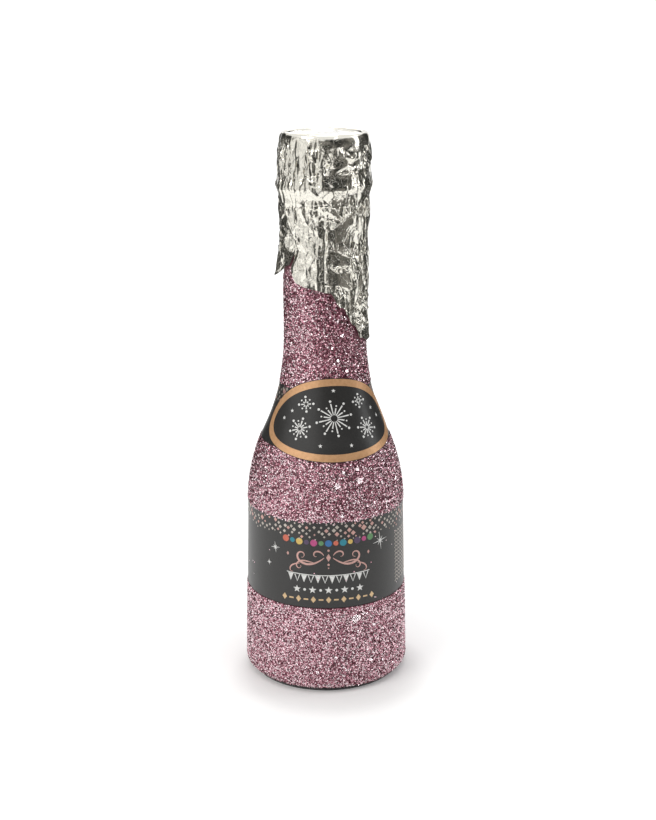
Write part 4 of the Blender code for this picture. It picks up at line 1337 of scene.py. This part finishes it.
# %% [markdown]
# ## Creases
# Thin foil pressed on by hand falls into two kinds of relief: long pleats that run up and down where
# the sheet had too much width, and flat plates with sharp creases between them. Pleats are lopsided
# ridges. Plates come from a warped lattice with random heights, where each cell is split into two
# flat triangles. The foil round the neck is worked out in millimetres from here on.

# %% Crease helpers
NECK_ROUND = 15.5  # mm, the radius that turns degrees into a distance round the neck
TABLE = 64


def creased(x, y, wide, tall, turn, seed):
    """A sheet creased into flat triangles about wide by tall: height -1 to 1, plate number 0 to 1, rim."""
    random = np.random.default_rng(seed)
    table = random.uniform(-1.0, 1.0, (TABLE, TABLE))
    split = random.random((TABLE, TABLE)) < 0.5
    number = random.random((TABLE, TABLE, 2))
    a, b = rotated(x, y, -turn)
    a, b = a / wide, b / tall
    a, b = a + 0.30 * np.sin(1.9 * b + 1.3 * a), b + 0.30 * np.sin(2.3 * a - 0.9 * b)
    i, j = np.floor(a).astype(int), np.floor(b).astype(int)
    u, v = a - i, b - j
    h00, h10, h01, h11 = (table[(i + p) % TABLE, (j + q) % TABLE] for q in (0, 1) for p in (0, 1))
    rising = np.where(
        u > v, h00 + (h10 - h00) * u + (h11 - h10) * v, h00 + (h11 - h01) * u + (h01 - h00) * v,
    )
    falling = np.where(
        u + v < 1.0,
        h00 + (h10 - h00) * u + (h01 - h00) * v,
        h11 + (h01 - h11) * (1.0 - u) + (h10 - h11) * (1.0 - v),
    )
    i, j = i % TABLE, j % TABLE
    rises = split[i, j]
    across = np.where(rises, u - v, u + v - 1.0)
    rim = np.minimum.reduce([u, 1.0 - u, v, 1.0 - v, np.abs(across)])
    return np.where(rises, rising, falling), number[i, j, (across > 0.0).astype(int)], rim


def facets(x, y, wide, tall, turn, seed):
    """Height, from -1 to 1, of a sheet creased into flat triangles about wide by tall."""
    return creased(x, y, wide, tall, turn, seed)[0]


def ragged(degrees, wide, seed):
    """An uneven zigzag round the neck, from -1 to 1, with teeth about this many mm wide."""
    return facets(np.radians(degrees) * NECK_ROUND, 0.0 * degrees, wide, 1.0, 0.0, seed)


def pleats(degrees, z, count, seed, start=-75.0, end=340.0, slant=130.0):
    """Lopsided vertical ridges, 0 to 1 high, that fade out up and down; slant is in degrees a metre."""
    random = np.random.default_rng(seed)
    total = np.zeros_like(degrees)
    for _ in range(count):
        middle = random.uniform(start, end)
        low, high = sorted(random.uniform(125.0, 203.0, 2))
        high = max(high, low + 14.0)
        lean = random.normal(0.0, slant) * MM
        steep, gentle = random.uniform(0.8, 2.2), random.uniform(3.0, 10.0)
        if random.random() < 0.5:
            steep, gentle = gentle, steep
        off = degrees - middle - lean * (z - (low + high) / 2)
        ridge = np.where(off < 0, 1.0 + off / gentle, 1.0 - off / steep)
        fade = np.clip((z - low) / 5.0, 0, 1) * np.clip((high - z) / 5.0, 0, 1)
        total = np.maximum(total, np.clip(ridge, 0, 1) * fade * random.uniform(0.5, 1.0))
    return total


def window(value, low, high, soft):
    """1 between low and high, falling to 0 over soft outside them."""
    return smooth_step(value, low - soft, low) * (1.0 - smooth_step(value, high, high + soft))


print("crease helpers ready")

# %% [markdown]
# ## The line that the foil follows
# Before any crease, the sheet lies on the neck, swells over the bead, narrows again and rolls over
# the lip into the mouth. That line is the bottle's own profile at first, then a few measured points,
# softened so that the sheet has no kinks.

# %% The foil's own profile
FOIL_LIP = [
    (16.73, 182.6), (15.85, 185.6), (15.4, 189.5), (15.45, 196.0), (15.55, 198.0), (15.35, 199.1),
    (14.9, 199.9), (14.35, 200.2), (13.9, 200.2), (13.6, 199.9), (13.4, 199.3),
]  # radius and height in mm, from the bead over the lip
CORE_STEP = 0.1
CORE_SOFTNESS = 1.8


def softened(values, spread):
    """The row of values run through a bell-shaped average this many steps wide."""
    kernel = np.exp(-0.5 * (np.arange(-60, 61) / spread) ** 2)
    return np.convolve(np.pad(values, 60, mode="edge"), kernel / kernel.sum(), "valid")


def foil_core():
    """The neck's profile as the foil follows it: length along it from the bead, radius, height."""
    low = np.linspace(124.0, 176.2, 300)
    neck = np.stack([outer_radius(low * MM) / MM, low], axis=1)
    line = np.concatenate([neck, FOIL_LIP])
    along = np.concatenate([[0.0], np.cumsum(np.hypot(*np.diff(line, axis=0).T))])
    even = np.arange(0.0, along[-1], CORE_STEP)
    radius, height = (softened(np.interp(even, along, line[:, k]), CORE_SOFTNESS) for k in (0, 1))
    start = np.interp(BEAD_Z / MM, line[: len(neck) + 1, 1], along[: len(neck) + 1])
    return even - start, radius, height


core_along, core_radius, core_height = foil_core()
print("foil reaches", round(core_along[-1], 1), "mm past the bead")

# %% [markdown]
# ## Folds and flat places
# Random relief alone looks like rough stone. Real foil has a few long folds that catch the eye, and
# places where it was smoothed flat by a thumb. Both are listed.

# %% Folds and flat places
LONG_FOLDS = [
    (2.5, 147.0, 171.0, 0.0, 0.45, 3.0, 1.2), (-9.0, 149.0, 172.0, 60.0, 0.25, 2.5, 2.0),
    (10.0, 166.0, 182.0, -250.0, 0.45, 3.0, 1.5), (40.0, 131.0, 152.0, -120.0, 0.6, 3.0, 1.5),
    (33.0, 133.0, 158.0, 90.0, 0.5, 2.5, 1.5), (58.0, 140.0, 170.0, 60.0, 0.5, 2.5, 2.0),
    (-48.0, 184.0, 197.0, 120.0, 0.55, 1.6, 1.6), (-60.0, 178.0, 198.0, -60.0, 0.5, 2.2, 1.5),
    (-42.0, 180.0, 199.0, -80.0, 0.55, 1.5, 1.5), (-22.0, 183.0, 198.5, 200.0, 0.60, 1.5, 1.5),
    (-52.0, 168.0, 190.0, 160.0, 0.5, 2.0, 1.5), (-13.0, 184.0, 193.0, -150.0, 0.5, 1.6, 1.6),
    (66.0, 160.0, 178.0, 0.0, 0.5, 2.0, 2.0), (24.0, 172.0, 183.0, 150.0, 0.45, 1.5, 1.5),
    (-55.0, 186.0, 199.0, 150.0, 0.45, 1.4, 1.6), (-17.0, 184.0, 196.0, -60.0, 0.45, 1.3, 1.3),
    (-8.0, 186.0, 198.0, 90.0, 0.45, 1.5, 1.3), (-35.0, 172.0, 186.0, 250.0, 0.45, 1.6, 1.3),
    (-27.0, 174.0, 184.0, -260.0, 0.40, 1.5, 1.3), (-16.0, 172.0, 183.0, 220.0, 0.40, 1.5, 1.3),
]  # degrees at the middle, low, high, lean in degrees a metre, height in mm, and its two sides' widths
FLAT_PLACES = [
    (12.0, 50.0, 184.6, 189.4), (36.0, 66.0, 191.0, 195.0), (-3.0, 92.0, 196.6, 200.6),
    (8.0, 31.0, 150.0, 153.0), (6.0, 33.0, 157.0, 160.0), (52.0, 74.0, 164.0, 177.0),
    (8.0, 22.0, 163.0, 171.0), (-37.0, -25.0, 185.0, 199.0), (62.0, 92.0, 128.0, 137.0),
    (110.0, 150.0, 150.0, 166.0), (190.0, 225.0, 160.0, 176.0), (-110.0, -88.0, 186.0, 196.0),
    (100.0, 128.0, 186.0, 195.0), (240.0, 262.0, 156.0, 170.0),
]  # first and last degree, low and high


def long_folds(degrees, z):
    """Ridges of the sharp folds, in mm."""
    total = np.zeros_like(degrees)
    for middle, low, high, lean, height, left, right in LONG_FOLDS:
        wave = 1.6 * facets(z, 0 * z + middle, 2.7, 50.0, 0.0, 66)
        off = degrees - middle - wave - lean * MM * (z - (low + high) / 2)
        ridge = np.clip(np.where(off < 0, 1.0 + off / left, 1.0 - off / right), 0.0, 1.0)
        total += height * ridge * window(z, low, high, 2.5)
    return total


def near_flat(degrees, z):
    """1 where the foil tends to lie flat, falling softly to 0."""
    places = [window(degrees, a, b, 8.0) * window(z, low, high, 2.0) for a, b, low, high in FLAT_PLACES]
    return np.maximum.reduce(places)


print("folds:", len(LONG_FOLDS), "flat places:", len(FLAT_PLACES))

# %% [markdown]
# ## The relief
# The sheet is built up in layers, each with a reason on the real one. Large plates carry smaller
# facets where the foil was crushed. A smooth panel lies left of the long fold. The bead and the band
# under the lip were pressed tight. Tongues of foil are gathered just under the bead, small fragments
# break the upper right, and fine streaks run down at the upper left.

# %% The foil's relief
ZONES = {
    "panel": (-44.0, 0.0, 7.0, 144.0, 174.0, 4.0),
    "smooth_corner": (-50.0, -27.0, 5.0, 144.0, 157.0, 3.0),
    "streaked": (-66.0, -4.0, 5.0, 185.0, 197.2, 1.5),
    "broken": (2.0, 80.0, 6.0, 188.6, 195.8, 1.5),
}  # first and last degree and their softness, then low and high in mm and theirs
CRUSHED_FACETS = [
    (0.36, 2.0, 5.2, 0.2, 67), (0.30, 1.4, 2.6, 0.1, 53), (0.08, 0.85, 0.95, 0.1, 54),
]  # depth, width and tallness in mm, turn and seed of the facets that crushing adds


def foil_relief(degrees, z, along):
    """How far the foil stands off the neck, what more stands off near the lip, and its crush."""
    x = np.radians(degrees) * NECK_ROUND
    near = near_flat(degrees, z)
    panel, smooth_corner, streaked, broken = (
        window(degrees, *values[:3]) * window(z, *values[3:]) for values in ZONES.values()
    )
    broken = broken * smooth_step(facets(x, along, 3.4, 3.0, 0.5, 74), -0.8, -0.3)
    bead = smooth_step(z, 176.4, 177.6) * (1.0 - smooth_step(z, 183.6, 190.0))
    rim_band = window(degrees, -3.0, 92.0, 5.0) * smooth_step(z, 196.4, 197.4)

    bend = 1.3 * facets(x, along, 4.1, 4.9, 0.9, 72)
    plate, number, rim = creased(x + bend, along - bend, 6.2, 7.6, 0.5, 51)
    flat = smooth_step(number + 0.45 * near, 0.66, 0.69) * smooth_step(rim + 0.05 * near, 0.02, 0.07)
    flat = np.maximum.reduce([flat * (1.0 - 0.7 * panel), 0.8 * bead, 0.9 * rim_band]) * (1.0 - broken)
    zone = smooth_step(facets(x, along, 5.5, 7.0, 0.4, 64), -0.4, 0.2)
    crush = (0.35 + 0.65 * zone) * (1.0 - flat) * (1.0 - 0.45 * panel) * (1.0 - 0.9 * smooth_corner)

    relief = 1.0 * (0.5 + 0.5 * plate) * (1.0 - 0.5 * panel) * (1.0 - 0.6 * bead)
    relief += 0.34 * facets(x, along, 2.4, 4.4, -0.6, 52) * (0.3 + 0.7 * crush) * (1.0 - flat)
    for depth, wide, tall, turn, seed in CRUSHED_FACETS:
        relief += depth * facets(x, along, wide, tall, turn, seed) * crush
    relief += 0.32 * pleats(degrees, z, 40, 55) * (1.0 - 0.95 * flat) * (1.0 - 0.6 * panel)
    relief += 0.14 * pleats(degrees, z, 60, 56, -45.0, 2.0) * panel
    relief += 0.45 * pleats(degrees, z, 34, 68, -70.0, 6.0, 700.0) * window(z, 183.5, 198.0, 5.0)
    relief += long_folds(degrees, z) * (1.0 - 0.6 * flat)
    tongues = np.abs(facets(x, 0.3 * along, 1.9, 9.0, 0.0, 60)) * (1.0 - smooth_step(z, 177.6, 179.6))
    relief += 0.8 * tongues * smooth_step(z + 1.3 * ragged(degrees, 2.6, 73), 170.5, 176.0)

    upper = 0.75 * facets(x, along, 2.3, 1.9, 0.25, 75) * broken
    upper += 0.34 * facets(x, along, 1.35, 7.0, -0.12, 76) * streaked
    return relief, upper, 0.15 + 0.85 * crush


print("relief ready")

# %% [markdown]
# ## Laying the sheet
# The sheet is one closed strip that spirals round the neck a little more than once. Its columns slide
# sideways so that its left edge follows the fold that shows in front, and its rows run from the torn
# edge to the inside of the lip. Near the lip the relief fades, because there the foil is rolled tight.

# %% Lay the foil
FOIL_COLUMNS = 430
FOIL_ROWS = 190
FOIL_FILM = 0.07
FOIL_BASE = 0.42
FLAP_DEGREES = 281.0
FLAP_Z = 150.0


def foil_grid():
    """Angle in degrees, place along the core, height above the torn edge and height, at each point."""
    nominal = np.linspace(FOIL_START, FOIL_END, FOIL_COLUMNS)[:, None]
    share = np.linspace(0.0, 1.0, FOIL_ROWS)[None, :]
    fold_z, fold_at = np.array(FOIL_FOLD).T
    degrees = nominal + 0.0 * share
    for _ in range(6):
        low = (tear_height(degrees) - BEAD_Z) / MM + 0.35 * ragged(degrees, 1.6, 58)
        along = low + (core_along[-1] - low) * share
        z = np.interp(along, core_along, core_height)
        slide = (np.interp(z, fold_z, fold_at) - FOIL_START) * (1.0 - smooth_step(nominal, FOIL_START, -5.0))
        degrees = nominal + slide
    return nominal, degrees, along, along - low, z


def lay_foil():
    """Points of the foil's outer and inner side, as columns of rows, and how crushed each is."""
    nominal, degrees, along, above_tear, z = foil_grid()
    sway = 0.9 * ragged(degrees, 3.3, 65) * window(along, -3.0, 7.0, 5.0)
    radius = np.interp(along + sway, core_along, core_radius)
    slope_r, slope_z = np.gradient(radius, axis=1), np.gradient(z, axis=1)
    size = np.hypot(slope_r, slope_z)
    out_r, out_z = slope_z / size, -slope_r / size

    relief, upper, crush = foil_relief(degrees, z, along)
    to_end = core_along[-1] - along
    front = 0.5 + 0.5 * np.cos(np.radians(degrees - 8.0))
    far_lip = 0.45 * (1.0 - front) ** 2 * smooth_step(to_end, 0.9, 1.8)
    lip = 1.0 - (0.88 - far_lip) * (1.0 - smooth_step(to_end, 2.4, 9.0))
    under = 1.0 - 0.75 * smooth_step(degrees, 282.0, 300.0)
    over = 0.75 * (1.0 - smooth_step(degrees, -30.0, 50.0)) * smooth_step(to_end, 0.4, 2.6)
    edge = 0.30 * np.exp(-above_tear / 1.1) * (0.6 + 0.8 * np.abs(ragged(degrees, 4.0, 59)))
    flap = 1.5 * np.exp(-(((degrees - FLAP_DEGREES) / 12.0) ** 2) - ((z - FLAP_Z) / 7.0) ** 2)
    roll = 0.25 + 0.75 * smooth_step(nominal, FOIL_START, FOIL_START + 7.0)
    base = FOIL_BASE - 0.26 * (1.0 - smooth_step(to_end, 3.0, 10.0))
    offset = base + (np.clip(relief, -0.2, None) * under * lip + upper + over) * roll + edge + flap
    offset = np.maximum(offset, 0.16 + 0.3 * window(z, 178.0, 181.0, 1.0))

    raised = 0.8 * front * (1.0 - smooth_step(to_end, 3.0, 8.0)) * smooth_step(to_end, 0.6, 2.2)
    sides = []
    for lift in (offset, offset - FOIL_FILM):
        side = round_points(radius + out_r * lift, np.radians(degrees), z + raised + out_z * lift)
        sides.append(side.reshape(-1, 3) * MM)
    return *sides, (crush * lip).ravel()


outer, inner, crush = lay_foil()
points, faces = sheet(outer, inner, FOIL_COLUMNS, FOIL_ROWS)
neck_wrap = put("neck_wrap", points, faces, foil_metal, "bottle", "silver_foil")
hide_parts("neck_foil")
layer = neck_wrap.data.attributes.new("crush", "FLOAT", "POINT")
layer.data.foreach_set("value", np.concatenate([crush, crush]))

# %% [markdown]
# ## The foil over the mouth
# The last piece of foil covers the mouth and tears out with the shot. It is a disc of the same thin
# sheet, nearly flat, with creases that gather towards its rim.

# %% Mouth foil
DISC_RINGS = 34
DISC_SIDES = 120
DISC_RADIUS = 13.07 * MM
DISC_TOP = 199.82 * MM
DISC_FILM = 0.06 * MM

ring = np.linspace(0.02, 1.0, DISC_RINGS)[None, :]
turn = np.linspace(-math.pi, math.pi, DISC_SIDES, endpoint=False)[:, None]
x, y = ring * DISC_RADIUS * np.sin(turn), -ring * DISC_RADIUS * np.cos(turn)
dimple = 0.10 * facets(x, y, 5.0 * MM, 6.0 * MM, 0.4, 61) + 0.05 * facets(x, y, 2.0 * MM, 2.4 * MM, 0.9, 62)
gather = 0.05 * facets(turn * 12.0 * MM, ring * 8.0 * MM, 2.0 * MM, 9.0 * MM, 0.0, 63) * ring**2
z = DISC_TOP + (dimple + gather) * MM * (1.0 - 0.5 * ring**4)
top = np.stack([x, y, z], axis=-1).reshape(-1, 3)
low = top - np.array([0.0, 0.0, DISC_FILM])
count = len(top)
quads = grid(DISC_SIDES, DISC_RINGS, round_columns=True)[:, [0, 3, 2, 1]]
middle = np.arange(DISC_SIDES) * DISC_RINGS
edge = middle + DISC_RINGS - 1
after = np.roll(edge, -1)
rim = np.stack([edge, edge + count, after + count, after], axis=1)
faces = np.concatenate([quads, quads[:, ::-1] + count, rim]).tolist()
faces += [middle.tolist(), (middle[::-1] + count).tolist()]

mouth_metal = finish("mouth_metal", (0.80, 0.79, 0.76), 0.22, metallic=1.0)
mottle(mouth_metal, grain(mouth_metal, 500.0, 3.0), (0.3, (0.76, 0.75, 0.72)), (0.7, (0.84, 0.83, 0.80)))
bump(mouth_metal, crumple(mouth_metal, 420.0, 1.0, 0.10, 0.01 * MM), 1.0)
mouth_foil = put("mouth_foil", np.concatenate([top, low]), faces, mouth_metal, "mouth_seal", "silver_foil")
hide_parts("foil_top")

# %% [markdown]
# ## The confetti
# The load is cut tissue, stacked in six levels of two colours. Each slip is its own thin sheet here,
# a little askew in its stack, as they are when a handful is pushed down the barrel.

# %% Tissue slips
TISSUE = {
    "pink": (0.90, 0.25, 0.50), "gold": (0.90, 0.68, 0.20), "blue": (0.12, 0.42, 0.80),
    "green": (0.25, 0.65, 0.25), "violet": (0.38, 0.22, 0.60), "orange": (0.92, 0.42, 0.12),
}
SLIPS = 56
LEVEL_GAP = 0.3 * MM
LOAD_LOW = 78.2 * MM
LEVEL_HEIGHT = (197.7 * MM - LOAD_LOW + LEVEL_GAP) / 6
STACK_SIDE = 12.1 * MM * math.sqrt(2.0)
STACK_GAP = 0.5 * MM
SLIP_SHARE = 0.72  # of the pitch is paper, the rest is air
BOX_FACES = ((3, 2, 1, 0), (4, 5, 6, 7), (0, 1, 5, 4), (1, 2, 6, 5), (2, 3, 7, 6), (3, 0, 4, 7))


def tissue(name, colour):
    """Thin dyed tissue: matt, mottled by its fibres."""
    made = finish(name, colour, 0.9, specular=0.2)
    fibre = grain(made, 1800.0, 5.0)
    darker, lighter = tuple(0.8 * c for c in colour), tuple(min(1.0, 1.12 * c) for c in colour)
    mottle(made, fibre, (0.3, darker), (0.7, lighter))
    bump(made, fibre, 0.03 * MM)
    return made


def slip_stack(level, hand, colour, index, seed):
    """Thin slips, one over another, each turned and shifted a little."""
    random = np.random.default_rng(seed)
    pitch = (LEVEL_HEIGHT - LEVEL_GAP) / SLIPS
    half = (STACK_SIDE - STACK_GAP) / 2.0
    turn = math.radians(25.0) * level + math.pi * hand
    points, faces = [], []
    for k in range(SLIPS):
        wide = STACK_SIDE / 2 - random.uniform(0.15, 0.8) * MM
        near = STACK_GAP / 2 + random.uniform(0.0, 0.4) * MM
        far = STACK_GAP / 2 + half - random.uniform(0.15, 0.6) * MM
        skew = random.normal(0.0, 0.006)
        base, first = LOAD_LOW + level * LEVEL_HEIGHT + k * pitch, len(points)
        for z in (base, base + SLIP_SHARE * pitch):
            for x, y in ((-wide, near), (wide, near), (wide, far), (-wide, far)):
                points.append((*rotated(*rotated(x, y, skew), turn), z))
        faces += [[first + i for i in face] for face in BOX_FACES]
    name, slot = f"slips_{colour}_{index}", f"tissue_{colour}"
    made = put(name, points, faces, dyed[colour], "confetti_load", slot, smooth=False)
    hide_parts(f"confetti_{colour}_{index}")


dyed = {name: tissue(f"tissue_{name}", colour) for name, colour in TISSUE.items()}
names = list(TISSUE)
for i in range(12):
    slip_stack(i // 2, i % 2, names[i % 6], 1 + i // 6, 70 + i)

# %% [markdown]
# ## The working parts inside
# The barrel, plunger, catch, spring and base keep the shapes of their solids. Each gets the finish
# of its material: moulded plastic has a faint grain from its mould, steel is drawn or stamped and
# shows fine lines, nylon is milky, and card is fibrous.

# %% Finishes of the working parts
def moulded(name, colour, roughness, waves, darker, lighter, depth):
    """Moulded plastic: its colour drifts slowly, and the mould leaves a fine grain."""
    made = finish(name, colour, roughness)
    mottle(made, grain(made, waves), (0.3, darker), (0.7, lighter))
    bump(made, grain(made, 2200.0, 3.0), depth)
    return made


white_plastic = moulded("white_plastic", (0.80, 0.80, 0.78), 0.42, 60.0,
                        (0.77, 0.77, 0.745), (0.83, 0.83, 0.81), 0.015 * MM)
black_plastic = moulded("black_plastic", (0.02, 0.02, 0.02), 0.40, 90.0,
                        (0.015, 0.015, 0.015), (0.03, 0.029, 0.029), 0.02 * MM)

nylon = finish("nylon", (0.88, 0.86, 0.79), 0.38)
mottle(nylon, grain(nylon, 300.0, 3.0), (0.3, (0.84, 0.81, 0.73)), (0.7, (0.90, 0.885, 0.83)))
shader_of(nylon).inputs["Subsurface Weight"].default_value = 0.3
shader_of(nylon).inputs["Subsurface Radius"].default_value = (1.0 * MM, 0.9 * MM, 0.7 * MM)

steel = finish("spring_steel", (0.55, 0.55, 0.56), 0.30, metallic=1.0)
drawn = grain(steel, 1800.0, 4.0, 0.7, (1.0, 1.0, 0.08))
mottle(steel, drawn, (0.3, (0.46, 0.46, 0.47)), (0.7, (0.62, 0.62, 0.63)))
bump(steel, drawn, 0.01 * MM)

grey_card = finish("grey_card", (0.72, 0.66, 0.55), 0.92, specular=0.2)
pulp = grain(grey_card, 1100.0, 5.0, 0.7)
mottle(grey_card, pulp, (0.25, (0.55, 0.49, 0.39)), (0.75, (0.80, 0.75, 0.65)))
bump(grey_card, pulp, 0.06 * MM)

KEPT = {
    "launch_barrel": white_plastic, "trigger_housing": white_plastic, "plunger": white_plastic,
    "base_cap": black_plastic, "catch_pin": steel, "keeper_washer": steel,
    "launch_spring": steel, "wad_disc": grey_card, "mouth_disc": grey_card,
}
for name, material in KEPT.items():
    nodes[name].material_slots[0].material = material
print("kept solids:", len(KEPT))

# %% [markdown]
# ## The springy catch
# The catch's two fingers bend towards each other when the twisted base squeezes them, and spring
# back when it is turned back. Its head keeps the solid's shape. The fingers are cut from the same
# solid below the head, as a piece with a mesh of its own.

# %% The catch's head and fingers
CATCH_ROOT = 7.5 * MM


def cut_copy(name, source, low, high, material, body, slot):
    """A copy of a solid between two heights, closed where it is cut."""
    mesh = bmesh.new()
    mesh.from_mesh(nodes[source].data)
    for height, upward in ((low, -1.0), (high, 1.0)):
        parts = mesh.verts[:] + mesh.edges[:] + mesh.faces[:]
        place, away = (0, 0, height), (0, 0, upward)
        bmesh.ops.bisect_plane(mesh, geom=parts, plane_co=place, plane_no=away, clear_outer=True)
        bmesh.ops.holes_fill(mesh, edges=mesh.edges[:], sides=0)
    mesh.verts.index_update()
    points = np.array([v.co for v in mesh.verts])
    faces = [[v.index for v in face.verts] for face in mesh.faces]
    mesh.free()
    return put(name, points, faces, material, body, slot, smooth=False)


low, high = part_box("release_catch")
root = high[2] - CATCH_ROOT
head = cut_copy("catch_head", "release_catch", root, high[2] + MM, nylon, "plunger_assembly", "nylon")
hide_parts("release_catch")
fingers = cut_copy("catch_fingers", "release_catch", low[2] - MM, root, nylon, "plunger_assembly", "nylon")
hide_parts("release_catch")
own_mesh(fingers)
